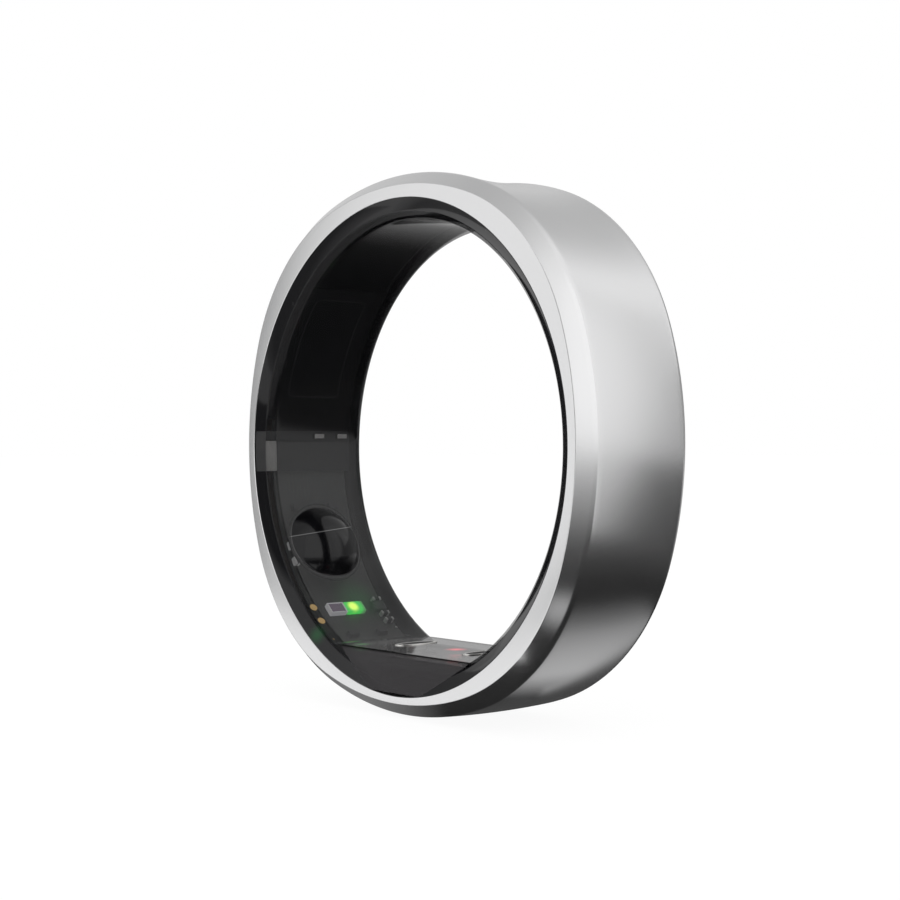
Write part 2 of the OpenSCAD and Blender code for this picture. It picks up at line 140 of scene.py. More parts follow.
# %% Numbers that build Math nodes
class Number:
    """A number socket in a node tree, with the arithmetic that this scene uses."""

    def __init__(self, desk, socket):
        self.desk, self.socket = desk, socket

    def math(self, operation, *others):
        node = self.desk.add("ShaderNodeMath", {"operation": operation}, [self, *others])
        return Number(self.desk, node.outputs[0])

    def __add__(self, other):
        return self.math("ADD", other)

    def __mul__(self, other):
        return self.math("MULTIPLY", other)

    def __sub__(self, other):
        return self.math("SUBTRACT", other)

    def __truediv__(self, other):
        return self.math("DIVIDE", other)

    def __rsub__(self, other):
        return (self * -1.0) + other

    def __abs__(self):
        return self.math("ABSOLUTE")

    __radd__, __rmul__ = __add__, __mul__

    def above(self, other):
        return self.math("GREATER_THAN", other)

    def below(self, other):
        return self.math("LESS_THAN", other)

    def step(self, low, high):
        """0 below low, 1 above high, and a soft ramp between."""
        node = self.desk.add("ShaderNodeMapRange", {"interpolation_type": "SMOOTHSTEP"},
                             {"Value": self, "From Min": low, "From Max": high})
        return Number(self.desk, node.outputs[0])


class Desk:
    """A node tree to work on."""

    def __init__(self, tree):
        self.tree = tree

    def add(self, kind, settings=None, sockets=None):
        node = self.tree.nodes.new(kind)
        for name, value in (settings or {}).items():
            if name == "stops":
                ramp = node.color_ramp
                while len(ramp.elements) < len(value):
                    ramp.elements.new(0.5)
                for stop, (place, shade) in zip(ramp.elements, value):
                    stop.position, stop.color = place, (*shade, 1.0)
            else:
                setattr(node, name, value)
        pairs = enumerate(sockets) if isinstance(sockets, (list, tuple)) else (sockets or {}).items()
        for name, value in pairs:
            self.feed(node.inputs[name], value)
        return node

    def feed(self, socket, value):
        if isinstance(value, Number):
            value = value.socket
        if isinstance(value, bpy.types.NodeSocket):
            self.tree.links.new(value, socket)
        elif socket.type == "RGBA" and len(value) == 3:
            socket.default_value = (*value, 1.0)
        else:
            socket.default_value = value

    def note(self, name):
        """A number kept on each point of a mesh."""
        kept = self.add("GeometryNodeInputNamedAttribute", {"data_type": "FLOAT"}, {"Name": name})
        return Number(self, kept.outputs["Attribute"])

    def parts(self, vector):
        """The three numbers of a vector."""
        return [Number(self, s) for s in self.add("ShaderNodeSeparateXYZ", {}, [vector]).outputs]

    def point(self, *numbers):
        return self.add("ShaderNodeCombineXYZ", {}, numbers).outputs[0]

    def vector(self, operation, first, second):
        return self.add("ShaderNodeVectorMath", {"operation": operation}, [first, second]).outputs[0]

    def scaled(self, vector, share):
        node = self.add("ShaderNodeVectorMath", {"operation": "SCALE"}, {0: vector, "Scale": share})
        return node.outputs[0]

    def length(self, operation, first, second):
        """The distance or dot product of two vectors in metres, in millimetres."""
        node = self.add("ShaderNodeVectorMath", {"operation": operation}, [first, second])
        return Number(self, node.outputs["Value"]) * (1 / MM)


print("node helpers ready")

# %% [markdown]
# ## Bending a bar round the ring
#
# The band, the liner, the battery, the circuit and the films are all one kind of thing: a bar of some
# cross-section, bent round the finger. A sweep along a curve could do it, but here the outside of
# the band follows a rounded square while its inside follows a circle. So the bar is made straight,
# with notes on each corner of its section, and Geometry Nodes bend it by rule.
#
# The rounded square is drawn with arcs. Seen from an arc's centre, a point on the outline lies in the
# direction of its normal, so one angle gives the arc, the centre and the place. The four flats have
# wide arcs whose centres lie beyond the middle, and the four corners have tighter ones. Two arcs meet
# where a run of 35 steps and a rise of 12 make a slant of 37, so the numbers are whole on both sides.

# %% Geometry Nodes: bend a straight bar round the bore
def new_tree(name, geometry, sizes, finishes):
    """An empty tree with named inputs: its desk, the input sockets and their identifiers."""
    tree = bpy.data.node_groups.new(name, "GeometryNodeTree")
    tree.interface.new_socket(name="Made", in_out="OUTPUT", socket_type="NodeSocketGeometry")
    ids = {}
    for kind, names in (("Geometry", [geometry]), ("Float", sizes), ("Material", finishes)):
        for title in names:
            ids[title] = tree.interface.new_socket(name=title, in_out="INPUT",
                                                   socket_type="NodeSocket" + kind).identifier
    desk = Desk(tree)
    return desk, desk.add("NodeGroupInput").outputs, ids


def bend_tree():
    names = ["Flat Radius", "Arc Step", "Bore Drop", "Lift", "Side Crown", "Top Hollow"]
    desk, given, ids = new_tree("bend bar round ring", "Bar", names, ["Finish"])
    flat, unit, drop, lift, crown, hollow = [Number(desk, given[n]) for n in names]
    share, along, radius = desk.parts(desk.add("GeometryNodeInputPosition").outputs[0])
    angle = desk.note("from") + share * (desk.note("to") - desk.note("from"))
    cos, sin = angle.math("COSINE"), angle.math("SINE")
    # arcs of the rounded square, in the first quarter
    shift, corner_at, half_flat = unit * (RUN - RISE), unit * RISE, math.atan2(RISE, RUN)
    folded = abs(sin).math("ARCTAN2", abs(cos))
    side = folded.below(half_flat)
    top = folded.above(math.pi / 2.0 - half_flat)
    corner = 1.0 - side - top
    centre_x = (corner * corner_at - side * shift) * cos.math("SIGN")
    centre_z = (corner * corner_at - top * shift) * sin.math("SIGN")
    arc = flat + shift - corner * unit * SLANT
    # crown or hollow across the outer face, deepest at the top
    high = sin.math("MAXIMUM", 0.0)
    swell = (crown - hollow * high * high) * desk.note("across")
    out = arc + (radius - flat) + swell
    outline = desk.note("outline")
    x = outline * (centre_x + out * cos) + (1.0 - outline) * (radius * cos)
    z = outline * (centre_z + out * sin) + (1.0 - outline) * (radius * sin - drop) + lift
    metres = desk.scaled(desk.point(x, along, z), MM)
    bent = desk.add("GeometryNodeSetPosition", {}, {"Geometry": given["Bar"], "Position": metres})
    closed = desk.add("GeometryNodeMergeByDistance", {}, {"Geometry": bent.outputs[0], "Distance": 1e-7})
    whole = desk.add("GeometryNodeRealizeInstances", {}, [closed.outputs[0]])
    done = desk.add("GeometryNodeSetMaterial", {}, {"Geometry": whole.outputs[0],
                                                    "Material": given["Finish"]})
    desk.add("NodeGroupOutput", {}, [done.outputs[0]])
    return desk.tree, ids


BEND = bend_tree()
print("bend tree nodes:", len(BEND[0].nodes))

# %% [markdown]
# A section is a list of corners. Each has its place along the finger and its radius, and says how far
# it follows the rounded square, how much of the crown it takes, and between which angles it runs.
# Rounded edges are part of the section: a few points on a small arc catch the light as the
# polished edge of a real ring does.

# %% Sections and bars
NOTES = "outline", "across", "from", "to"


def corner_point(along, radius, outline=0.0, across=0.0, start=0.0, end=360.0):
    return {"along": along, "radius": radius, "outline": outline, "across": across,
            "from": math.radians(start), "to": math.radians(end)}


def mirror(points):
    """The same corners at the other face, in the order that closes a section."""
    return [(-along, radius) for along, radius in reversed(points)]


def rounded(points, radii, steps=7):
    """The corners of a closed section (along, radius), each rounded by its own small radius."""
    made = []
    for i, here in enumerate(points):
        before, after, r = points[i - 1], points[(i + 1) % len(points)], radii[i]
        here, before, after = Vector(here), Vector(before), Vector(after)
        if r <= 0:
            made.append(tuple(here))
            continue
        a, b = (before - here).normalized(), (after - here).normalized()
        half = a.angle(b) / 2
        reach = min(r / math.tan(half), 0.49 * (before - here).length, 0.49 * (after - here).length)
        r = reach * math.tan(half)
        centre = here + (a + b).normalized() * (r / math.sin(half))
        first, last = here + a * reach - centre, here + b * reach - centre
        for s in range(steps + 1):
            made.append(tuple(centre + first.slerp(last, s / steps) * r))
    return made


def tube_faces(rows, count, start=True, end=True):
    """Faces of a tube of rows that each close on themselves, with a cap at either end."""
    faces = [(j * count + i, j * count + (i + 1) % count, (j + 1) * count + (i + 1) % count,
              (j + 1) * count + i) for j in range(rows - 1) for i in range(count)]
    if start:
        faces.append(tuple(range(count))[::-1])
    if end:
        faces.append(tuple((rows - 1) * count + i for i in range(count)))
    return faces


def mesh_of(name, spots, faces=()):
    mesh = bpy.data.meshes.new(name)
    mesh.from_pydata(spots, [], faces)
    return mesh


def bar_mesh(name, section, steps, closed):
    """A straight bar: its share of the way round lies on X, and its section on Y and Z."""
    spots = [(s / steps, p["along"], p["radius"]) for s in range(steps + 1) for p in section]
    mesh = mesh_of(name, spots, tube_faces(steps + 1, len(section), not closed, not closed))
    for note in NOTES:
        mesh.attributes.new(note, "FLOAT", "POINT").data.foreach_set(
            "value", [p[note] for _ in range(steps + 1) for p in section])
    return mesh


# %% Pieces from meshes
def show(name, mesh, finish=None):
    piece = bpy.data.objects.new(name, mesh)
    bpy.context.scene.collection.objects.link(piece)
    if finish is not None:
        mesh.materials.clear()
        mesh.materials.append(finish)
    return piece


def grown(name, mesh, tree, values):
    """What a tree of Geometry Nodes makes of a mesh, as a plain mesh."""
    group, ids = tree
    seed = show(name + "_seed", mesh)
    modifier = seed.modifiers.new("tree", "NODES")
    modifier.node_group = group
    for key, value in values.items():
        modifier[ids[key]] = value
    made = bpy.data.meshes.new_from_object(seed.evaluated_get(bpy.context.evaluated_depsgraph_get()))
    made.name = name
    bpy.data.objects.remove(seed)
    return made


def tidy_surface(mesh, crease):
    """Merged, facing outwards, smooth, with creases where the surface really turns."""
    work = bmesh.new()
    work.from_mesh(mesh)
    bmesh.ops.remove_doubles(work, verts=work.verts, dist=2e-8)
    bmesh.ops.dissolve_degenerate(work, edges=work.edges, dist=1e-8)
    bmesh.ops.recalc_face_normals(work, faces=work.faces)
    work.to_mesh(mesh)
    work.free()
    mesh.shade_smooth()
    mesh.set_sharp_from_angle(angle=math.radians(crease))
    print(mesh.name, len(mesh.polygons), "faces")
    return mesh


def bend(name, section, finish, steps=360, closed=False, crease=40.0, crown=0.0, hollow=0.0):
    """A section bent round the ring by the tree above, as a finished piece."""
    mesh = grown(name, bar_mesh(name, section, steps, closed), BEND, {
        "Flat Radius": FLAT, "Arc Step": ARC_STEP, "Bore Drop": BORE_DROP, "Lift": LIFT,
        "Side Crown": crown, "Top Hollow": hollow, "Finish": finish})
    for note in NOTES:
        if note in mesh.attributes:
            mesh.attributes.remove(mesh.attributes[note])
    return show(name, tidy_surface(mesh, crease), finish)


PIECES = []


def place(piece, node):
    """The piece rides with the ring and stands for this solid."""
    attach(piece, "root")
    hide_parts(node)
    PIECES.append(piece.name)


print("section helpers ready")

# %% [markdown]
# ## Satin titanium
#
# The band is titanium, blasted very finely and then coated, so it has a soft sheen with no brush
# lines that show from a step away. Metal shows mostly what stands round it, and a fine uneven
# roughness keeps that from looking like chrome. Two scales of noise do it: one for cloudy patches
# that a cloth leaves, and one for the tooth of the surface itself, which also goes into a bump.

# %% Finish helpers and titanium
def finish(name):
    material = bpy.data.materials.new(name)
    material.use_nodes = True
    material.node_tree.nodes.clear()
    desk = Desk(material.node_tree)
    desk.place = desk.add("ShaderNodeTexCoord").outputs["Object"]
    return material, desk


def grey(tone):
    return tone, tone, tone


def noise(desk, scale, detail=3.0, roughness=0.5, stretch=(1, 1, 1)):
    """Noise over the piece; a stretch makes it finer along an axis."""
    node = desk.add("ShaderNodeTexNoise", {}, {
        "Vector": desk.vector("MULTIPLY", desk.place, stretch), "Scale": scale, "Detail": detail,
        "Roughness": roughness})
    return Number(desk, node.outputs[0])


def mixed(desk, share, first, second):
    return desk.add("ShaderNodeMix", {"data_type": "RGBA"}, {0: share, 6: first, 7: second}).outputs[2]


def bump(desk, height, depth, strength=1.0):
    """A bump of some depth in millimetres."""
    return desk.add("ShaderNodeBump", {}, {"Height": height, "Distance": depth * MM,
                                           "Strength": strength}).outputs[0]


def surface(desk, **sockets):
    node = desk.add("ShaderNodeBsdfPrincipled", {}, {k.replace("_", " "): v for k, v in sockets.items()})
    desk.add("ShaderNodeOutputMaterial", {}, {"Surface": node.outputs[0]})


def make_titanium():
    material, desk = finish("satin_titanium")
    clouds = noise(desk, 260.0)
    tooth = noise(desk, 1.0, 4.0, 0.6, (9000, 30000, 9000))
    colour = mixed(desk, clouds * 0.5 + tooth * 0.3, (0.72, 0.72, 0.725), (0.80, 0.80, 0.805))
    surface(desk, Base_Color=colour, Metallic=1.0, Roughness=clouds * 0.05 + tooth * 0.03 + 0.20,
            Normal=bump(desk, tooth, 0.0006))
    return material


TITANIUM = make_titanium()
print("finish:", TITANIUM.name)

# %% [markdown]
# ## Dark clear resin
#
# The liner, the platform and the domes are epoxy with a little black in it. It is polished, so it
# mirrors lamps sharply, and thin enough that parts just under it show. Real refraction would move
# those parts sideways, and the solids already have them where they are seen, so the resin here is
# a gloss over a dark veil: Alpha sets how much of what lies below comes through. At both edges the
# resin is as deep as the channel, and there it is all but black.
#
# Light also spreads inside resin, and polished resin mirrors the edges of the cards round it. Both
# are too faint and too fine to come out of so thin a veil, so they are drawn as weak light: round
# glows over the lamps, a thin circle at the foot of a dome and a thin line across it.

# %% Light in the resin
FOOT_TONE, MIRRORED_TONE = 0.055, 0.13
THIN_LINE = 0.006, 0.028


def lit_from(desk, glows, feet, mirrored):
    """Light in the resin, in millimetres.

    Glows are (place, reach, colour), soft and round. Feet are (place, radius) of thin lit circles.
    What is mirrored is (side, distance) of a plane that crosses the piece in a thin line.
    """
    total = grey(0.0)
    for spot, reach, colour in glows:
        share = 1.0 - desk.length("DISTANCE", desk.place, spot).step(0.0, reach)
        total = desk.vector("ADD", total, desk.scaled(colour, share * share))
    thin = [(desk.length("DISTANCE", desk.place, spot) - radius, FOOT_TONE) for spot, radius in feet]
    for side, distance in mirrored:
        thin.append((desk.length("DOT_PRODUCT", desk.place, side) - distance, MIRRORED_TONE))
    for gap, tone in thin:
        share = 1.0 - abs(gap).step(*THIN_LINE)
        total = desk.vector("ADD", total, desk.scaled(grey(tone), share))
    return total


def ring_place(desk):
    """The place on a piece, in millimetres from the bore's centre."""
    x, y, z = [part * (1 / MM) for part in desk.parts(desk.place)]
    return x, y, z - BORE_Z


# %% Resin finishes
FOIL_MIDDLE, FOIL_REACH = 0.21, 1.05
DEEP, DULLER, GLOSSIER = (2.98, 3.08), (2.62, 2.80), (3.04, 3.10)
SKIN_RADIUS, SKIN_HALF = LINER_OUT - 0.05, 2.75
# The line values bound a painted dark reflection along the platform's top edges.
TOP_EDGE, PAINTED_LINE_START, PAINTED_LINE_END = (2.70, 2.76), (2.74, 2.77), (2.84, 2.88)
PAINTED_LINE_LOWEST = -PLATFORM_LEVEL - 0.23


def liner_shade(desk, alpha, gloss, tint):
    """Almost black at both edges, thinner over the foil, and clear at its outer skin."""
    x, y, z = ring_place(desk)
    deep = abs(y)
    foil = abs(z + FOIL_MIDDLE).below(FOIL_REACH) * x.below(0.0) * y.below(0.0)
    thick = deep.step(*DEEP) * (1.0 - foil * 0.8)
    outer_skin = (x * x + z * z).math("SQRT").above(SKIN_RADIUS) * deep.below(SKIN_HALF)
    alpha = (thick * (0.985 - alpha) + alpha) * (1.0 - outer_skin)
    return alpha, gloss - deep.step(*DULLER) * 0.65 + deep.step(*GLOSSIER) * 0.2, tint


def platform_shade(desk, alpha, gloss, tint):
    """A painted dark reflection below the edges of the flat top, and full gloss on the top itself."""
    _, y, z = ring_place(desk)
    deep = abs(y)
    # The line mask paints a dark reflection: near-black tint, almost opaque, along the top's edges.
    line = deep.step(*PAINTED_LINE_START) * (1.0 - deep.step(*PAINTED_LINE_END)) * z.above(PAINTED_LINE_LOWEST)
    top = 1.0 - deep.step(*TOP_EDGE)
    return (line * (0.98 - alpha) + alpha, (1.0 - line) * gloss + top * (1.0 - gloss),
            mixed(desk, line, tint, grey(0.002)))


def make_resin(name, alpha, tint, rough=0.05, gloss=1.0, shade=None, glows=(), feet=(), mirrored=()):
    material, desk = finish(name)
    if shade:
        alpha, gloss, tint = shade(desk, alpha, gloss, tint)
    wipe = noise(desk, 1.0, 4.0, 0.6, (300, 120, 300))
    dust = noise(desk, 5200.0, 2.0).step(0.70, 0.78)
    colour = mixed(desk, dust * 0.5, tint, (0.05, 0.05, 0.052))
    surface(desk, Base_Color=colour, Roughness=wipe * 0.05 + dust * 0.1 + rough, IOR=1.53,
            Alpha=alpha, Normal=bump(desk, wipe, 0.003, 0.4), Specular_IOR_Level=0.05,
            Coat_Weight=gloss, Coat_Roughness=rough, Coat_IOR=1.53,
            Emission_Color=lit_from(desk, glows, feet, mirrored), Emission_Strength=1.0)
    return material


UNDER_TOP = -PLATFORM_LEVEL - 0.02
LINER_GLOWS = [(on_ring(SENSOR_ROW, 10.78, -0.16), 2.3, (0.0, 0.045, 0.008)),
               (in_ring(-6.4, -3.1, -9.4), 0.9, (0.0, 0.05, 0.01))]
PLATFORM_GLOWS = [(in_ring(0.30, 0.24, UNDER_TOP), 0.84, (2.0, 0.15, 0.22)),
                  (in_ring(-4.2, -2.0, UNDER_TOP), 0.7, (0.02, 0.32, 0.03))]
DOME_FEET = [(on_ring(turn, BORE, DOME_FRONT), DOME_RADIUS + 0.005) for turn in DOME_ANGLES]
CARD_SIDE, CARD_DISTANCE = (0.1304, 0.0978, -0.9866), 3.043
LINER_RESIN = make_resin("liner_resin", 0.60, (0.006, 0.006, 0.007), shade=liner_shade,
                         glows=LINER_GLOWS)
PLATFORM_RESIN = make_resin("platform_resin", 0.66, (0.034, 0.031, 0.034), gloss=0.42,
                            shade=platform_shade, glows=PLATFORM_GLOWS)
DOME_RESIN = make_resin("dome_resin", 0.95, (0.004, 0.004, 0.005), 0.13, gloss=0.58, feet=DOME_FEET,
                        mirrored=[(CARD_SIDE, CARD_DISTANCE + BORE_Z * CARD_SIDE[2])])
print("resins ready")

# %% [markdown]
# ## The band
#
# The section runs from the front lip across the face, down the chamfer, over the wide outer side and
# back through the channel. The outer side is hollow at the top and a little crowned at the sides
# and at the bottom, which is one rule: a crown less a hollow that grows with height.

# %% Band of titanium
RIDGE = HALF - 0.64
CHAMFER = 0.60
EDGE_ROUND, RIDGE_ROUND = 0.09, 0.45
FACE_FOOT, FACE_BLEND, FACE_DEEP = 11.72, 0.4, 0.5
CROWN, HOLLOW = 0.08, 0.26


def band_section():
    across = 26
    front = [(-HALF, FACE_FOOT), (-HALF, FLAT - CHAMFER), (-RIDGE, FLAT)]
    outer = [(RIDGE * (2 * i / across - 1), FLAT) for i in range(2, across - 1)]
    lip = [(HALF - 0.03, LIP), (LIP_SIDE, LIP), (LIP_SIDE, CHANNEL)]
    path = front + outer + mirror(front) + lip + mirror(lip)
    soft = [0, EDGE_ROUND, RIDGE_ROUND]
    radii = soft + [0] * len(outer) + soft[::-1] + [0] * 2 * len(lip)
    section = []
    for along, radius in rounded(path, radii):
        face = abs(along) > HALF - FACE_DEEP
        inside = radius <= LIP + 1e-6 or (not face and radius < CHANNEL + 0.01)
        blend = min(1.0, max(0.0, (radius - FACE_FOOT) / FACE_BLEND)) if face else 1.0
        swell = 0.0 if inside or radius < FLAT - 0.3 else max(0.0, 1 - (along / RIDGE) ** 2)
        section.append(corner_point(along, radius, 0.0 if inside else blend, swell))
    return section


place(bend("titanium_band", band_section(), TITANIUM, steps=720, closed=True, crease=28,
           crown=CROWN, hollow=HOLLOW), "outer_shell")

# %% [markdown]
# ## Where the platform cuts the liner
#
# The platform at the bottom has a flat top and sloped ends towards both faces. Liner and platform
# are one casting, so their surfaces have to meet without a gap. One function gives the height of
# the platform at any place along the finger, with its top edges softened, and both use it.

# %% Shared edge of liner and platform
PLATFORM_SLOPE = (HALF + 0.04 - PLATFORM_HALF) / (LIP - PLATFORM_LEVEL)
PLATFORM_SOFT = 0.10
BEVEL = [(-HALF, LIP), (-HALF + 0.30, 11.13), (-HALF + 0.63, BORE)]
BEVEL_ROUNDS = [0.10, 0.45]
LEDGE_SIDE = HALF - 0.67
RESIN_GAP = 0.003


def platform_height(along):
    """How far below the bore's centre the platform's surface lies, its top edges rounded."""
    slope = (abs(along) - PLATFORM_HALF) / PLATFORM_SLOPE
    return PLATFORM_LEVEL + (slope + math.hypot(slope, PLATFORM_SOFT)) / 2


def cut_angles(along, radius):
    """Where the liner ends on the platform, at the right and at the left, in degrees."""
    share = platform_height(along) / radius
    if share >= 0.99999:
        return -90.0, 270.0
    edge = math.degrees(math.asin(share))
    return -edge, 180.0 + edge


def liner_path():
    """The liner's inner side from face to face, and the roundings of its corners but the ends."""
    bore = [(BEVEL[-1][0] * (1 - i / 6), BORE) for i in range(1, 12)]
    return BEVEL + bore + mirror(BEVEL), BEVEL_ROUNDS + [0] * len(bore) + BEVEL_ROUNDS[::-1]


def liner_section():
    inner, rounds = liner_path()
    outer = [(LIP_SIDE, LIP), (LIP_SIDE, CHANNEL - RESIN_GAP), (LEDGE_SIDE, CHANNEL - RESIN_GAP),
             (LEDGE_SIDE, LINER_OUT - 2 * RESIN_GAP)]
    whole = rounded(inner + outer + mirror(outer), [0.02] + rounds + [0.02] + [0] * 2 * len(outer))
    return [corner_point(a, r, start=cut_angles(a, r)[0], end=cut_angles(a, r)[1]) for a, r in whole]


place(bend("dark_liner", liner_section(), LINER_RESIN, crease=32), "resin_liner")

# %% [markdown]
# ## The platform
#
# The platform is the raised block over the sensors. It is cast with the liner, its top is very
# slightly dished, and it is hollow over the sensor board. A grid that follows the shared height gives
# its top and slopes. A second grid lies one wall further in, and the two skins are joined.

# %% Platform over the sensor board
DISH, DISH_HALVES = 0.035, (4.6, 2.8)
WALL, WALL_LEAST = 0.28, 0.004
FINE_STEP, EDGE_STEP, FLAT_HALF, HALF_COLUMNS = 0.012, 0.04, 2.45, 40


def bore_profile():
    """The liner's inner side as (along, radius), with the same soft edges as the liner."""
    path, rounds = liner_path()
    ends = [(-HALF, LIP + 1)], [(HALF, LIP + 1)]
    return rounded(ends[0] + path + ends[1], [0, 0] + rounds + [0, 0])[1:-1]


PROFILE = bore_profile()


def bore_radius_at(along):
    for (a0, r0), (a1, r1) in zip(PROFILE, PROFILE[1:]):
        if a0 <= along <= a1 and a1 > a0:
            return r0 + (r1 - r0) * (along - a0) / (a1 - a0)
    return LIP


def skinned(name, grid, under, finish, crease):
    """A closed piece from a grid of places and a second grid below it."""
    total = len(grid) * len(grid[0])
    index = [list(range(j, j + len(grid[0]))) for j in range(0, total, len(grid[0]))]
    faces = []
    for near, far in zip(index, index[1:]):
        for a, b, c, d in zip(near, near[1:], far[1:], far):
            faces += [(a, b, c, d), (a + total, d + total, c + total, b + total)]
    rim = index[0] + [row[-1] for row in index[1:]] + index[-1][-2::-1]
    rim += [row[0] for row in index[-2:0:-1]]
    faces += [(b, a, a + total, b + total) for a, b in zip(rim, rim[1:] + rim[:1])]
    mesh = mesh_of(name, [in_ring(*p) for row in grid + under for p in row], faces)
    return show(name, tidy_surface(mesh, crease), finish)


def platform_grid():
    edge = [HALF - FINE_STEP * i for i in range(3)] + [HALF - EDGE_STEP * i for i in range(1, 22)]
    middle = [FLAT_HALF * (i / 10 - 1) for i in range(21)]
    rows = []
    for along in sorted({round(a, 4) for a in edge + middle + [-a for a in edge]}):
        height, radius = platform_height(along), bore_radius_at(along)
        width = math.sqrt(max(radius * radius - height * height, 0.01))
        row = []
        for i in range(2 * HALF_COLUMNS + 1):
            x = width * (i / HALF_COLUMNS - 1)
            hollows = [max(0, 1 - (v / half) ** 2) for v, half in zip((x, along), DISH_HALVES)]
            row.append((x, along, -height - DISH * hollows[0] * hollows[1]))
        rows.append(row)
    return rows


def pushed_in(x, along, z):
    """The same place on the wall's inner side, never past the lips."""
    floor = 0.02 - math.sqrt(LIP * LIP - x * x)
    return x * 0.98, along * (1 - WALL / HALF), min(z - WALL_LEAST, max(z - WALL, floor))


GRID = platform_grid()
place(skinned("sensor_window", GRID, [[pushed_in(*p) for p in row] for row in GRID],
              PLATFORM_RESIN, 40), "sensor_platform")

# %% [markdown]
# ## The domes
#
# Two domes press the optical sensors' windows against the skin. Each is a cap of a ball that stands
# out of the bore's wall. The wall is curved, so the foot of the dome is not a flat circle. The
# surface below takes the higher of ball and wall and blends them with a small fillet, as the
# mould does.

# %% Sensor domes
DOME_RISE, DOME_BALL = 1.05, 2.585
DOME_REACH, DOME_FILLET, DOME_SKIRT = 2.20, 0.07, 0.12


def soft_least(a, b, width):
    share = max(width - abs(a - b), 0.0) / width
    return min(a, b) - share * share * width / 4


def dome(name, degrees, finish):
    rings, steps = 44, 96
    spots = []
    for j in range(rings + 2):
        reach = DOME_REACH * (min(j, rings) / rings) ** 0.9
        ball = BORE - DOME_RISE + DOME_BALL - math.sqrt(max(DOME_BALL ** 2 - reach ** 2, 0))
        for i in range(steps):
            beta = 2 * math.pi * i / steps
            s, front = reach * math.cos(beta), reach * math.sin(beta)
            wall = math.sqrt(BORE * BORE - s * s) + 0.006 * (reach / DOME_REACH) ** 8
            level = soft_least(ball, wall, DOME_FILLET) + DOME_SKIRT * (j > rings)
            spots.append(on_ring(degrees, level, DOME_FRONT + front, s))
    mesh = mesh_of(name, spots, tube_faces(rings + 2, steps, start=False))
    return show(name, tidy_surface(mesh, 50), finish)


for side, degrees in zip(("left", "right"), DOME_ANGLES):
    place(dome(side + "_dome", degrees, DOME_RESIN), side + "_dome_lens")

# %% [markdown]
# ## Finishes under the resin
#
# Below the resin lie foil, films, a flexible circuit and small chips. They are seen through a dark
# veil, so their colours are set brighter than they look. A pattern that belongs to the circuit has
# to follow it round the ring, so it reads two lengths: how far round, and how far along the finger.

# %% Films, foils, packages and metals
def make_coat(name, first, second, scale, rough, depth=0.004, metal=0.0, stretch=(1, 1, 1), shine=0.5,
              glint=None):
    """A moulded, coated or plated surface: two close colours, uneven gloss and a fine grain.

    A glint is a painted highlight: the lamps that bright plating mirrors, which the resin would swallow.
    """
    material, desk = finish(name)
    grain = noise(desk, scale, 4.0, 0.6, stretch)
    broad = noise(desk, scale * 0.15, 2.0)
    surface(desk, Base_Color=mixed(desk, grain * 0.6 + broad * 0.4, first, second), Metallic=metal,
            Roughness=broad * 0.12 + grain * 0.08 + (rough - 0.1), Normal=bump(desk, grain, depth),
            Specular_IOR_Level=shine, Emission_Color=glint or grey(0.0),
            Emission_Strength=1.0 if glint else 0.0)
    return material


POUCH = make_coat("pouch_foil", (0.004, 0.004, 0.005), (0.009, 0.009, 0.010), 900, 0.5, 0.01,
                  shine=0.06)
ADHESIVE = make_coat("adhesive_sheet", (0.30, 0.27, 0.20), (0.36, 0.33, 0.25), 1500, 0.7)
# The amber film is set far darker than its own colour: painted shade, for the gap under the circuit
# where it lies.
AMBER_PAINTED_DARK = make_coat("amber_film", (0.05, 0.03, 0.012), (0.07, 0.04, 0.016), 1200, 0.35, shine=0.1)
TAPE = make_coat("grey_tape", (0.040, 0.040, 0.042), (0.058, 0.058, 0.060), 1400, 0.4, shine=0.2)
PACKAGE = make_coat("chip_package", (0.020, 0.020, 0.021), (0.035, 0.035, 0.036), 4000, 0.6, 0.006)
SENSOR_CAP = make_coat("sensor_package", (0.10, 0.10, 0.105), (0.15, 0.15, 0.155), 3500, 0.5)
NICKEL = make_coat("nickel_strip", (0.78, 0.77, 0.75), (0.90, 0.89, 0.87), 2600, 0.38, 0.003, 0.15,
                   (1, 6, 1))
FOIL = make_coat("foil", grey(0.36), grey(0.46), 2400, 0.42, 0.004, 0.2)
CERAMIC = make_coat("ceramic_block", (0.22, 0.17, 0.12), (0.34, 0.27, 0.20), 5000, 0.55)
PALE_CERAMIC = make_coat("pale_ceramic", (0.62, 0.61, 0.58), (0.74, 0.73, 0.70), 5000, 0.5)
RESISTOR = make_coat("resistor_coat", (0.025, 0.025, 0.027), (0.045, 0.045, 0.048), 4500, 0.4)
BOARD = make_coat("board_laminate", (0.015, 0.06, 0.035), (0.03, 0.09, 0.05), 3000, 0.5)
PLATE = make_coat("contact_plate", (0.62, 0.61, 0.59), (0.74, 0.73, 0.71), 1500, 0.30, 0.001, 1.0)
print("plain finishes:", len(bpy.data.materials))

# %% Metals and dies, plain and with a glint
TIN_LOOK = grey(0.80), (0.95, 0.95, 0.94), 2400, 0.42, 0.004, 0.15
GOLD_LOOK = (0.80, 0.52, 0.24), (0.95, 0.70, 0.36), 2400, 0.35, 0.002, 0.3
DIE_LOOK = (0.10, 0.07, 0.12), (0.17, 0.12, 0.19), 1800, 0.25, 0.001
TIN = make_coat("tinned_metal", *TIN_LOOK)
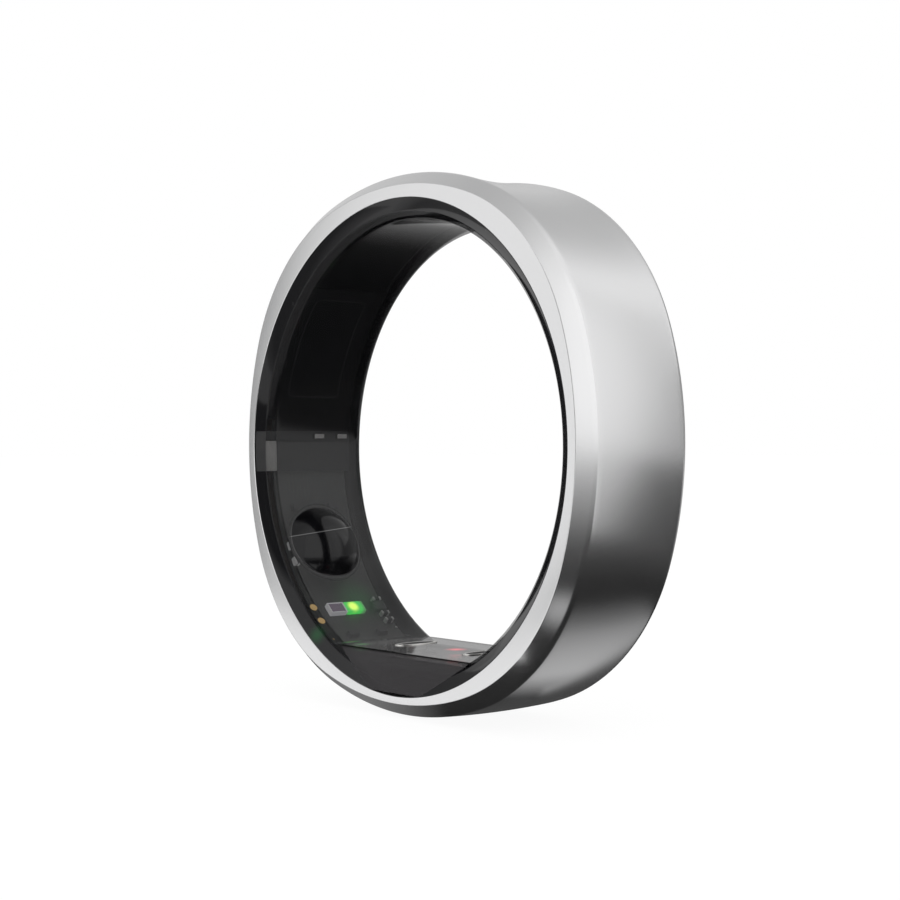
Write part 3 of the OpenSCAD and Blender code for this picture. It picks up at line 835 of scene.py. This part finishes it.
# BRIGHT_CAP, PAD_GOLD, LIT_DIE and SILVER carry painted highlights, drawn as emission.
BRIGHT_CAP = make_coat("bright_cap", *TIN_LOOK, glint=grey(0.22))
GOLD = make_coat("gold_plate", *GOLD_LOOK)
PAD_GOLD = make_coat("pad_gold", *GOLD_LOOK, glint=(0.50, 0.34, 0.14))
SILICON = make_coat("silicon_die", *DIE_LOOK)
LIT_DIE = make_coat("lit_die", *DIE_LOOK, glint=(0.15, 0.12, 0.155))
SILVER = make_coat("silver_plate", grey(0.85), (0.95, 0.95, 0.94), 2400, 0.35, 0.002, 0.2,
                   glint=(0.33, 0.33, 0.35))
print("finishes for the electronics:", len(bpy.data.materials))

# %% Film with the pouch's seam, and solder mask with traces
SEAM_MIDDLE, SEAM_HALVES, SEAM_ROUND = (152, -0.15), (2.45, 1.25), 0.35
TRACES, DOTS = 4.2, (2.6, 2.1)


def ring_lengths(desk, radius):
    """Lengths in millimetres round the ring, from the right-hand side, and along the finger."""
    x, y, z = ring_place(desk)
    return z.math("ARCTAN2", x) * radius, y


def off_middle(steps):
    """How far a place lies from the middle of its step, for lines and dots that repeat."""
    return abs(steps.math("FRACT") - 0.5)


def make_film():
    material, desk = finish("battery_film")
    around, along = ring_lengths(desk, LINER_OUT)
    turn, middle = SEAM_MIDDLE
    dx = (abs(around - math.radians(turn) * LINER_OUT) - SEAM_HALVES[0]).math("MAXIMUM", 0.0)
    dy = (abs(along - middle) - SEAM_HALVES[1]).math("MAXIMUM", 0.0)
    edge = (dx * dx + dy * dy).math("SQRT")
    seam = 1.0 - abs(edge - SEAM_ROUND).step(0.02, 0.06)
    grain = noise(desk, 1500.0)
    colour = mixed(desk, grain, (0.012, 0.012, 0.013), (0.018, 0.018, 0.019))
    surface(desk, Base_Color=mixed(desk, seam * 0.5, colour, (0.075, 0.075, 0.078)),
            Roughness=grain * 0.1 + 0.35, Normal=bump(desk, seam * 0.6 + grain * 0.2, 0.01),
            Specular_IOR_Level=0.12)
    return material


def make_mask():
    material, desk = finish("solder_mask")
    around, along = ring_lengths(desk, CIRCUIT)
    weave = noise(desk, 700.0)
    patch = noise(desk, 420.0, 1.0, 0.4).step(0.50, 0.54)
    copper = off_middle(along * TRACES + weave * 0.25).below(0.13) * patch
    ground = mixed(desk, weave, (0.105, 0.110, 0.108), (0.135, 0.140, 0.138))
    dots = off_middle(around * DOTS[0]).below(0.08) * off_middle(along * DOTS[1]).below(0.07)
    colour = mixed(desk, copper * 0.5, ground, (0.17, 0.175, 0.155))
    surface(desk, Base_Color=mixed(desk, dots * (1.0 - patch) * 0.6, colour, (0.25, 0.22, 0.15)),
            Roughness=weave * 0.1 + 0.38, Normal=bump(desk, copper * 0.6 + weave * 0.3, 0.006))
    return material


FILM, MASK = make_film(), make_mask()
print("film and mask ready")

# %% [markdown]
# ## Battery, films and circuit
#
# The battery is a curved pouch cell that fills the upper half of the channel. A film lies on its left
# end, a grey tape covers the joint between cell and circuit, and the flexible circuit runs round
# the lower half. All of them are bars with a small section, so they are bent like the band.

# %% Layers in the channel
CELL_HALF = 2.4
CELL_FACE, CELL_BACK = 11.302, 12.088
FILM_FACE, TAPE_FACE, SHEET = 11.262, 11.258, 0.036
CIRCUIT_THICK = 0.10
TAPE_ENDS = 175.7, 186.4


def strip(name, radii, sides, angles, finish, edge, steps, node):
    """A strip with rounded edges: its radii, its two sides along the finger and its angles."""
    (r0, r1), (y0, y1) = radii, sides
    corners = rounded([(y0, r0), (y0, r1), (y1, r1), (y1, r0)], [edge] * 4, 4)
    section = [corner_point(a, r, start=angles[0], end=angles[1]) for a, r in corners]
    place(bend(name, section, finish, steps=steps), node)


strip("battery_pouch", (CELL_FACE, CELL_BACK), (-CELL_HALF, CELL_HALF), (12, 172), POUCH, 0.16, 240,
      "battery_cell")
strip("battery_film_sheet", (FILM_FACE, FILM_FACE + SHEET), (-CELL_HALF, CELL_HALF), (134, 175.68),
      FILM, 0.012, 90, "battery_film")
strip("joint_tape", (TAPE_FACE, 11.290), (-2.25, 2.45), TAPE_ENDS, TAPE, 0.012, 40, "insulating_tape")
strip("flexible_circuit", (CIRCUIT, CIRCUIT + CIRCUIT_THICK), (-HALF_CIRCUIT, HALF_CIRCUIT), (173, 353),
      MASK, 0.02, 240, "flex_circuit")

# %% [markdown]
# ## Blocks on the circuit
#
# Chips, tabs and pads are small blocks that stand square to the ring's radius. Their edges are
# never sharp: a moulded package or a cut foil has a small radius that catches light. One helper
# makes such a block with a bevel, and another sets it at an angle round the ring.

# %% Block helpers
def bevelled(size, edge, coat, put):
    """A bevelled block of some size, with each of its corners put in place."""
    work = bmesh.new()
    bmesh.ops.create_cube(work, size=1.0)
    for v in work.verts:
        v.co = Vector(c * s for c, s in zip(v.co, size))
    bmesh.ops.bevel(work, geom=work.edges[:], offset=edge, segments=3, profile=0.5, affect="EDGES")
    for v in work.verts:
        v.co = put(*v.co)
    bmesh.ops.recalc_face_normals(work, faces=work.faces)
    mesh = bpy.data.meshes.new("block")
    work.to_mesh(mesh)
    work.free()
    mesh.materials.append(coat)
    return mesh


def block(degrees, radii, front, around, along, edge, coat):
    """A block between two radii; front is its middle's distance towards the front face."""
    middle = (radii[0] + radii[1]) / 2
    return bevelled((radii[1] - radii[0], along, around), edge, coat,
                    lambda out, back, shift: on_ring(degrees, middle + out, front - back, shift))


def joined(name, meshes, node):
    """Several meshes, each with its own finishes, as one piece."""
    work, coats = bmesh.new(), []
    for mesh in meshes:
        known = len(work.faces)
        work.from_mesh(mesh)
        work.faces.ensure_lookup_table()
        for face in work.faces[known:]:
            face.material_index += len(coats)
        coats.extend(mesh.materials)
    whole = bpy.data.meshes.new(name)
    work.to_mesh(whole)
    work.free()
    for coat in coats:
        whole.materials.append(coat)
    whole.shade_smooth()
    whole.set_sharp_from_angle(angle=math.radians(50))
    place(show(name, whole), node)


# %% Tabs at the battery's end, and the earthing foil
TAB_ANGLE, TAB_FOOT_ANGLE, TAB_FACE = 177.0, 174.6, 11.251
FOIL_FRONT, FOIL_ALONG, FOIL_BACK = 2.62, 0.74, 11.50


def tab(name, front, node):
    joined(name, [
        block(TAB_ANGLE, (TAB_FACE, 11.56), front, 0.235, 0.62, 0.015, NICKEL),
        block(TAB_ANGLE, (TAB_FACE - 0.001, 11.30), front + 0.40, 0.27, 0.14, 0.01, POUCH),
        block(TAB_FOOT_ANGLE, (11.515, 11.575), front, 0.9, 0.62, 0.012, NICKEL),
    ], node)


def foil_fold():
    """The foil's fold towards the lip, under the liner's outer bevel."""
    corners = [(-3.29, 11.66), (-3.01, 11.18), (-2.98, 11.21), (-3.26, 11.69)]
    section = [corner_point(a, r, start=TAPE_ENDS[0], end=TAPE_ENDS[1]) for a, r in corners]
    fold = bend("earth_fold", section, FOIL, steps=24)
    mesh = fold.data
    bpy.data.objects.remove(fold)
    return mesh


tab("left_pad_tab", -0.5, "positive_tab")
tab("right_pad_tab", -2.0, "negative_tab")
joined("earthing_foil", [
    block(182.3, (11.256, FOIL_BACK), FOIL_FRONT, 1.58, FOIL_ALONG, 0.02, NICKEL),
    block(176.9, (11.262, FOIL_BACK), FOIL_FRONT, 0.48, FOIL_ALONG, 0.02, SENSOR_CAP),
    foil_fold(),
], "ground_tab")
print("tabs done")

# %% [markdown]
# ## Small parts in rows
#
# Capacitors and resistors come in rows: a coated body with a tinned cap on each end. A Geometry
# Nodes tree builds one such part from its sizes, sets it on points round the circuit and turns each
# one to face the bore. The points carry the turn, so a row is only a list of places.

# %% Geometry Nodes: capped chips on points
CAP_THICKER, CAP_WIDER = 1.06, 1.08


def capped_tree():
    names = ["Thickness", "Length", "Width", "Cap Share"]
    desk, given, ids = new_tree("capped chips round circuit", "Places", names,
                                ["Body Finish", "Cap Finish"])
    thick, long, wide, share = [Number(desk, given[n]) for n in names]

    def brick(x, y, z, coat, offset=0.0):
        cube = desk.add("GeometryNodeMeshCube", {}, {"Size": desk.point(x, y, z)}).outputs[0]
        moved = desk.add("GeometryNodeTransform", {}, {"Geometry": cube,
                                                       "Translation": desk.point(0.0, offset)})
        return desk.add("GeometryNodeSetMaterial", {}, {"Geometry": moved.outputs[0],
                                                        "Material": given[coat]}).outputs[0]

    cap = long * share
    away = (long - cap) * 0.5
    join = desk.add("GeometryNodeJoinGeometry")
    desk.tree.links.new(brick(thick, long - cap * 2.0, wide, "Body Finish"), join.inputs[0])
    for offset in (away, away * -1.0):
        end = brick(thick * CAP_THICKER, cap, wide * CAP_WIDER, "Cap Finish", offset)
        desk.tree.links.new(end, join.inputs[0])
    spread = desk.add("GeometryNodeInstanceOnPoints", {}, {
        "Points": given["Places"], "Instance": join.outputs[0],
        "Rotation": desk.point(0.0, desk.note("turn"))})
    whole = desk.add("GeometryNodeRealizeInstances", {}, [spread.outputs[0]])
    desk.add("NodeGroupOutput", {}, [whole.outputs[0]])
    return desk.tree, ids


CAPPED = capped_tree()
print("capped tree nodes:", len(CAPPED[0].nodes))

# %% Capacitors and resistors
CHIP_MIDDLE, CHIP_THICK = 11.43, 0.26
SMALL_CHIP = 0.58, 0.28


def chip_row(places, size, body, caps, share=0.24):
    """Capped chips at (degrees, front distance), all of one length and width."""
    mesh = mesh_of("row_places", [on_ring(d, CHIP_MIDDLE, front) for d, front in places])
    mesh.attributes.new("turn", "FLOAT", "POINT").data.foreach_set(
        "value", [-math.radians(d) for d, _ in places])
    return grown("row", mesh, CAPPED, {
        "Thickness": CHIP_THICK * MM, "Length": size[0] * MM, "Width": size[1] * MM,
        "Cap Share": share, "Body Finish": body, "Cap Finish": caps})


IN_FROM_EDGE = 0.7 * HALF_CIRCUIT
joined("ceramic_capacitors", [
    chip_row([(224.5, -1.90), (229.4, -1.92), (231.9, -1.90)], (0.50, 0.18), RESISTOR, TIN),
    chip_row([(236, side * 0.4 * HALF_CIRCUIT) for side in (1, -1)], SMALL_CHIP, SENSOR_CAP, SENSOR_CAP),
    chip_row([(304, IN_FROM_EDGE), (307, IN_FROM_EDGE), (310, IN_FROM_EDGE), (304, -IN_FROM_EDGE),
              (307, -IN_FROM_EDGE)], SMALL_CHIP, CERAMIC, TIN),
], "chip_capacitors")
joined("thick_film_resistors", [
    # The resistors' tinned caps carry a painted highlight.
    chip_row([(206.6, 2.047), (211.1, 2.047)], (0.30, 0.38), RESISTOR, BRIGHT_CAP, 0.36),
    chip_row([(196, 1.15), (196, -1.15), (322, 1.84), (325, 1.84)], SMALL_CHIP, SENSOR_CAP, SENSOR_CAP),
], "chip_resistors")
print("rows done")

# %% [markdown]
# ## Test pads
#
# Two round gold pads near the front edge let the factory charge and test the circuit before it is
# cast in, and two smaller dots lie further along. Each is a thin disc with a raised rim, turned as
# a profile.

# %% Gold test pads
PAD_FOOT = 11.575
PAD_PROFILE = [(0.205, 0.0), (0.205, 0.018), (0.19, 0.028), (0.13, 0.030), (0.12, 0.022), (0.02, 0.022)]
DOT_PROFILE = [(0.06, 0.0), (0.06, 0.015), (0.045, 0.025), (0.01, 0.028)]


def turned(name, profile, steps, put):
    """A profile of (radius, height) turned about its own axis, each spot put in place."""
    spots = [put(radius * math.cos(2 * math.pi * i / steps), radius * math.sin(2 * math.pi * i / steps),
                 height) for radius, height in profile for i in range(steps)]
    return tidy_surface(mesh_of(name, spots, tube_faces(len(profile), steps)), 40)


def pad(degrees, front, profile, coat):
    """A turned pad on the circuit: its axis points at the bore's axis."""
    mesh = turned("pad", profile, 48, lambda a, b, h: on_ring(degrees, PAD_FOOT - h, front - b, a))
    mesh.materials.append(coat)
    return mesh


joined("gold_test_pads", [
    # The two round gold pads carry a painted highlight.
    pad(225.0, 2.1, PAD_PROFILE, PAD_GOLD), pad(229.6, 2.1, PAD_PROFILE, PAD_GOLD),
    pad(234.0, -2.2, DOT_PROFILE, NICKEL), pad(236.5, 2.15, DOT_PROFILE, GOLD),
], "test_pads")

# %% [markdown]
# ## Lit sensors
#
# The green lamp chip shines through the resin. Its die is the brightest spot and the clear package
# round it glows less, so the colour falls off with the distance from the die. The photodiode beside
# it has a silver frame round a dark die.

# %% Lamp chips and photodiodes
CHIP_FACE = 11.262
DIODE_FRONT = 0.93
FRAME = [(0, 0.47, 0.66, 0.07), (0, -0.47, 0.66, 0.07), (1.53, 0, 0.06, 1.0), (-1.53, 0, 0.06, 1.0)]


def make_lamp(name, centre, core, halo, reach, strength):
    """Light that falls from its core to a halo within the reach, and to a faint rest beyond it."""
    material, desk = finish(name)
    gap = desk.length("DISTANCE", desk.place, centre)
    grain = noise(desk, 6000.0)
    near = mixed(desk, gap.step(reach * 0.25, reach), core, halo)
    faint = tuple(0.25 * c + 0.03 for c in halo)
    surface(desk, Base_Color=mixed(desk, grain, (0.30, 0.32, 0.30), (0.40, 0.42, 0.40)),
            Emission_Color=mixed(desk, gap.step(reach * 1.15, reach * 1.7), near, faint),
            Emission_Strength=strength, Roughness=grain * 0.1 + 0.2)
    return material


GREEN = make_lamp("green_lamp", on_ring(SENSOR_ROW, 11.28, -0.08), (0.66, 1.0, 0.12),
                  (0.02, 0.40, 0.04), 0.42, 2.6)
joined("green_lamp_chip", [
    block(SENSOR_ROW, (11.272, CHIP_FOOT), -0.21, 0.66, 1.16, 0.03, GREEN),
], "green_led")
# The frame and the die carry painted highlights, drawn as emission.
joined("side_photodiode_chip", [
    *(block(SENSOR_ROW + turn, (CHIP_FACE, CHIP_FOOT), DIODE_FRONT + front, around, along, 0.012, SILVER)
      for turn, front, around, along in FRAME),
    block(SENSOR_ROW, (11.285, CHIP_FOOT), DIODE_FRONT, 0.54, 0.86, 0.01, LIT_DIE),
], "side_photodiode")
joined("lamp_switch_chip", [
    block(SENSOR_ROW, (11.28, CHIP_FOOT), -1.82, 0.6, 0.72, 0.03, SENSOR_CAP),
], "led_switch_chip")
for side, degrees in zip(("left", "right"), DOME_ANGLES):
    joined(side + "_dome_sensor", [
        block(degrees, (11.30, 11.54), DOME_FRONT, 1.4, 1.6, 0.03, SENSOR_CAP),
        block(degrees, (11.285, 11.32), DOME_FRONT, 1.05, 1.2, 0.01, SILICON),
    ], side + "_dome_photodiode")
print("sensors done")

# %% [markdown]
# ## Under the platform
#
# A small board stands in the hollow of the platform, with a red lamp, an infrared lamp and a
# photodiode that look up through its top. Two long plated contacts come through the top. The parts
# stand on the flat board and not on the curved circuit, so they have their own helper.

# %% Board, lamps and contacts
BOARD_Z, BOARD_THICK = -10.52, 0.19
BOARD_TOP = BOARD_Z + BOARD_THICK / 2
LAMP_SIZE, LAMP_Z = (0.55, 0.5, 0.33), -10.25
PAD_SIZE = 0.5, 0.3, 0.02
DIODE_X = -0.9


def flat_block(x, y, z, size, edge, coat):
    """A block square to the ring's own axes, at its middle in millimetres."""
    return bevelled(size, edge, coat, lambda a, b, c: in_ring(x + a, y + b, z + c))


RED = make_lamp("red_lamp", in_ring(0.45, 0.0, -10.06), (1.0, 0.20, 0.16), (0.30, 0.02, 0.02), 0.3, 0.7)
joined("sensor_board_panel", [
    flat_block(0, 0, BOARD_Z, (7.36, 4.16, BOARD_THICK), 0.03, BOARD),
    *(flat_block(x, 0.9, BOARD_TOP + 0.01, PAD_SIZE, 0.005, GOLD) for x in (-1.9, 1.9)),
], "sensor_board")
for name, x, coat, node in (("red_lamp_chip", 0.45, RED, "red_led"),
                            ("infrared_lamp_chip", 1.25, SENSOR_CAP, "infrared_led")):
    joined(name, [flat_block(x, 0, LAMP_Z, LAMP_SIZE, 0.03, coat)], node)
joined("platform_photodiode_chip", [
    flat_block(DIODE_X, 0, -10.28, (1.5, 1.6, 0.27), 0.03, SENSOR_CAP),
    flat_block(DIODE_X, 0, -10.14, (1.2, 1.3, 0.02), 0.005, SILICON),
], "platform_photodiode")
print("board done")

# %% Plated contacts
CONTACT_WIDE, CONTACT_LONG, CONTACT_MIDDLE = 0.62, 1.86, 0.23
CONTACT_PROFILE = [(0.34, -0.66), (0.34, -0.10), (0.70, -0.10), (0.715, -0.02), (0.70, 0.022),
                   (0.64, 0.030), (0.58, 0.018), (0.52, -0.012), (0.30, -0.030), (0.02, -0.034)]
DISH_SHARE, DISH_DEEPEST = 0.60, 0.08


def contact(name, x, node):
    """A plated contact: a long head with a rolled rim round a dark dish, on a stem."""
    mesh = turned(name, CONTACT_PROFILE, 72, lambda a, b, h: in_ring(
        x + a * CONTACT_WIDE, b * CONTACT_LONG + CONTACT_MIDDLE, h - PLATFORM_LEVEL))
    piece = show(name, mesh, PLATE)
    mesh.materials.append(PACKAGE)
    for face in mesh.polygons:
        spot = face.center / MM
        out = math.hypot((spot.x - x) / CONTACT_WIDE, (spot.y - CONTACT_MIDDLE) / CONTACT_LONG)
        face.material_index = int(out < DISH_SHARE and spot.z - BORE_Z > -PLATFORM_LEVEL - DISH_DEEPEST)
    place(piece, node)


contact("left_contact", -2.75, "left_charging_contact")
contact("right_contact", 2.35, "right_charging_contact")

# %% [markdown]
# ## Parts that keep their solids
#
# The chips on the circuit's far side, the films against the metal and the connectors are hidden by
# the circuit from every side. Their solids are already right, so they only get their finishes.

# %% Finishes for the hidden solids
HIDDEN = {"battery_adhesive": ADHESIVE, "shell_insulator": AMBER_PAINTED_DARK, "accelerometer": SENSOR_CAP,
          "crystal": TIN, "chip_antenna": PALE_CERAMIC, "board_connectors": RESISTOR}
HIDDEN.update({node: PACKAGE for node in (
    "bluetooth_chip", "memory_chip", "power_chip", "protection_chip", "sensor_driver_chip",
    "front_end_chip")})
for node, coat in HIDDEN.items():
    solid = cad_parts[node]
    solid.data.materials.clear()
    solid.data.materials.append(coat)
print("pieces made:", len(PIECES), "solids kept:", len(HIDDEN))

# %% [markdown]
# ## The studio
#
# The ring stands on a pale table in a white room. What the camera, the metal and the resin see of
# the room is white, while the light on the ring stays at a plain level: Light Path tells the
# two apart. The table still takes a little real light, so the ring's shadow stays on it.

# %% Table and room
FLOOR = LIFT - FLAT - 0.11
TABLE_HALF = 2000


def seen_as_white(desk):
    """1 for rays from the camera, from mirrors and through glass, 0 for light itself."""
    path = desk.add("ShaderNodeLightPath").outputs
    camera_ray, glossy, through = [Number(desk, path[name]) for name in (
        "Is Camera Ray", "Is Glossy Ray", "Is Transmission Ray")]
    return camera_ray.math("MAXIMUM", glossy).math("MAXIMUM", through)


def make_table():
    material, desk = finish("pale_table")
    paper = desk.add("ShaderNodeBsdfDiffuse", {}, {"Color": grey(0.92)}).outputs[0]
    glow = desk.add("ShaderNodeEmission", {}, {"Color": grey(1.0), "Strength": 1.04}).outputs[0]
    both = desk.add("ShaderNodeMixShader", {}, [seen_as_white(desk) * 0.9, paper, glow]).outputs[0]
    desk.add("ShaderNodeOutputMaterial", {}, {"Surface": both})
    return material


def make_room():
    room = bpy.data.worlds.new("white_room")
    room.use_nodes = True
    room.node_tree.nodes.clear()
    desk = Desk(room.node_tree)
    back = desk.add("ShaderNodeBackground", {}, {"Color": grey(1.0),
                                                 "Strength": seen_as_white(desk) * 0.25 + 0.75})
    desk.add("ShaderNodeOutputWorld", {}, {"Surface": back.outputs[0]})
    return room


def sheet(name, spots, finish):
    """A flat piece of the studio, in millimetres from the middle of the ring."""
    mesh = mesh_of(name, [Vector(p) * MM for p in spots], [tuple(range(len(spots)))])
    piece = show(name, mesh, finish)
    return piece


CORNERS = (-1, -1), (1, -1), (1, 1), (-1, 1)
sheet("floor", [(x * TABLE_HALF, y * TABLE_HALF, FLOOR) for x, y in CORNERS], make_table())
bpy.context.scene.world = make_room()
print("floor at mm", round(FLOOR, 3))

# %% [markdown]
# ## Cards round the ring
#
# In a room that is white all over, satin metal would look flat white. A product photographer gives
# it grey and black cards to mirror, out of the camera's sight. Each card here is a flat sheet whose
# tone runs from dark to light across it, because a hard edge would show in the band as a line.
#
# The low card lies on the table round the ring. Smaller sheets lie on it where the lower side of the
# band mirrors them: next to the ring, at its front and back, and far off on the right. One card hangs
# overhead, and five stand upright, of which the one on the right leans its tones to draw the dark
# zone of the outer side. The list of tones of a card is (millimetres, tone).

# %% Card helpers
def make_card(name, tones, measure):
    """Grey paper: its tone follows a ramp over a measure in millimetres."""
    material, desk = finish(name)
    low, high = tones[0][0], tones[-1][0]
    share = (measure(desk) - low) / (high - low)
    nap = noise(desk, 300.0)
    stops = [((at - low) / (high - low), grey(tone)) for at, tone in tones]
    tone = desk.add("ShaderNodeValToRGB", {"stops": stops}, {"Fac": share + nap * 0.01}).outputs[0]
    surface(desk, Base_Color=mixed(desk, nap, grey(0.01), grey(0.012)),
            Emission_Color=tone, Emission_Strength=1.0, Roughness=0.9, Specular_IOR_Level=0.0)
    return material


def card(name, spots, tones, measure):
    """A card that only mirrors see."""
    piece = sheet(name, spots, make_card(name + "_paper", tones, measure))
    for rays in ("camera", "shadow", "diffuse", "transmission"):
        setattr(piece, "visible_" + rays, False)


def bearing(degrees):
    """Two level directions: away from the ring at a bearing, and across that."""
    turn = math.radians(degrees)
    return Vector((math.cos(turn), math.sin(turn), 0)), Vector((-math.sin(turn), math.cos(turn), 0))


def axis(number):
    return lambda desk: desk.parts(desk.place)[number] * (1 / MM)


def away(x, y):
    """How far a place on the table lies from a spot, in millimetres."""
    def measure(desk):
        flat = desk.vector("MULTIPLY", desk.place, (1, 1, 0))
        return desk.length("DISTANCE", flat, (x * MM, y * MM, 0))
    return measure


def beyond(side):
    """How far a place lies towards a side, in millimetres."""
    return lambda desk: desk.length("DOT_PRODUCT", desk.place, side)


# %% Sheets on the table
LOW = FLOOR + 0.004
LOW_HALF = 600
FAR_BEARING = 46
FAR_SIDE = bearing(FAR_BEARING)[1]
FAR_SHIFT = 12 * math.sin(math.radians(FAR_BEARING))


def laid(name, corners, tones, measure, lift=0.003):
    """A sheet on the table; all but the low card lie a hair above that one."""
    card(name, [(x, y, LOW + lift) for x, y in corners], tones, measure)


laid("low_card", [(-LOW_HALF, -4.6), (9, -4.6), (160, -LOW_HALF), (LOW_HALF, -LOW_HALF),
                  (LOW_HALF, LOW_HALF), (-LOW_HALF, LOW_HALF)],
     [(0, 0.015), (24, 0.015), (33, 0.05), (46, 0.24), (60, 0.34), (150, 0.6), (600, 0.8)],
     away(0, 0), 0.0)
laid("near_back", [(-12, -2.2), (3.5, -1.9), (7.4, -1.1), (15, 1.8), (15, 10), (-12, 10)],
     [(-12, 0.2), (-3, 0.13), (0, 0.07), (5.0, 0.06), (5.8, 0.045), (6.7, 0.21), (8, 0.53),
      (10, 0.43), (11.5, 0.32), (12.8, 0.16), (15, 0.03)], axis(0))
laid("near_front", [(-12, -4.6), (3, -4.6), (4, -6.6), (7.4, -6.6), (9, -4.6), (11, -4.6), (15, 1.8),
                    (7.4, -1.1), (3.5, -1.9), (-12, -2.2)],
     [(-12, 0.26), (-3, 0.20), (0, 0.14), (3, 0.02), (15, 0.02)], axis(0))
laid("back_shade", [(6.4, 1.3), (10.2, 7.9), (10.2, 10), (4.5, 10), (4.5, 1.3)],
     [(-4.95, 0.50), (-4.7, 0.40), (-4.3, 0.24), (-3.8, 0.05), (2, 0.06)],
     beyond((-0.867, 0.498, 0)), 0.006)
laid("front_patch", [(11.5, -10.3), (17.5, -10.3), (17.5, -4.3), (11.5, -4.3)],
     [(0, 0.55), (1.2, 0.45), (3.0, 0.02), (4.4, 0.02)], away(14.5, -7.3))
laid("far_sheet", [(35.2, 6.2), (263, 67.3), (57.1, 256), (16.2, 23.6)],
     [(-200, 0.8), (-30, 0.76), (-10, 0.72), (-4, 0.60), (-1, 0.37), (1, 0.20), (3, 0.09),
      (8, 0.05), (14, 0.06), (200, 0.3)], lambda desk: beyond(FAR_SIDE)(desk) + FAR_SHIFT)
laid("front_low", [(-45, -75), (0, -75), (0, -33), (-45, -33)],
     [(-75, 0.6), (-62, 0.25), (-42, 0.25), (-33, 0.7)], axis(1))
print("sheets laid at mm", round(LOW, 3))

# %% Cards overhead and upright
CARD_FOOT = -12.0
RIGHT_BEARING, RIGHT_LEAN = 32, 0.3


def upright(name, degrees, distance, left, right, high, tones, measure=None, low=CARD_FOOT):
    """A card that stands across a bearing; left and right are seen from the ring."""
    out, side = bearing(degrees)
    spots = [out * distance + side * t + Vector((0, 0, h)) for t, h in (
        (right, low), (left, low), (left, high), (right, high))]
    card(name, spots, tones, measure or beyond(side))


card("over_card", [(-900, -150, 150), (70, -150, 150), (70, 900, 150), (-900, 900, 150)],
     [(-900, 0.8), (-180, 0.66), (-60, 0.54), (0, 0.60), (35, 0.78), (70, 1.0)], axis(0))
card("left_card", [(-95, -26, -12.7), (-36, -26, -12.7), (-36, -26, 45), (-95, -26, 45)],
     [(-95, 0.33), (-45, 0.34), (-40, 0.66), (-36, 0.9)], axis(0))
upright("front_card", -95, 120, 30, -30, 70, [(-30, 0.9), (-22, 0.12), (22, 0.12), (30, 0.9)], low=-12.7)
upright("bright_card", -14, 300, 185, -215, 400, [(-215, 1.0), (-195, 1.16), (165, 1.16), (185, 1.0)])
upright("rear_card", 105, 300, 322, -322, 110, [
    (-322, 0.42), (-60, 0.34), (40, 0.14), (150, 0.20), (185, 0.49), (322, 0.60)])
upright("right_card", RIGHT_BEARING, 301, 150, 0, 330, [
    (-100, 1.08), (20, 1.05), (31, 1.0), (45, 0.92), (64, 0.80), (79, 0.62), (90, 0.46), (102, 0.40),
    (150, 0.38)], lambda desk: beyond(bearing(RIGHT_BEARING)[1])(desk) - axis(2)(desk) * RIGHT_LEAN)
print("cards up")


# %% Lamps
def area_lamp(name, spot, size, power):
    """A square lamp in metres that faces the ring and that mirrors don't see."""
    lamp = bpy.data.lights.new(name, "AREA")
    lamp.shape, lamp.size, lamp.energy = "SQUARE", size, power
    holder = bpy.data.objects.new(name, lamp)
    bpy.context.scene.collection.objects.link(holder)
    holder.location = spot
    holder.rotation_mode = "QUATERNION"
    holder.rotation_quaternion = (-Vector(spot)).to_track_quat("-Z", "Y")
    holder.visible_camera = holder.visible_glossy = False
    print("lamp:", name)


area_lamp("key_softbox", (0.12, -0.06, 0.20), 0.16, 0.10)
area_lamp("fill_softbox", (-0.12, -0.22, 0.05), 0.20, 0.06)
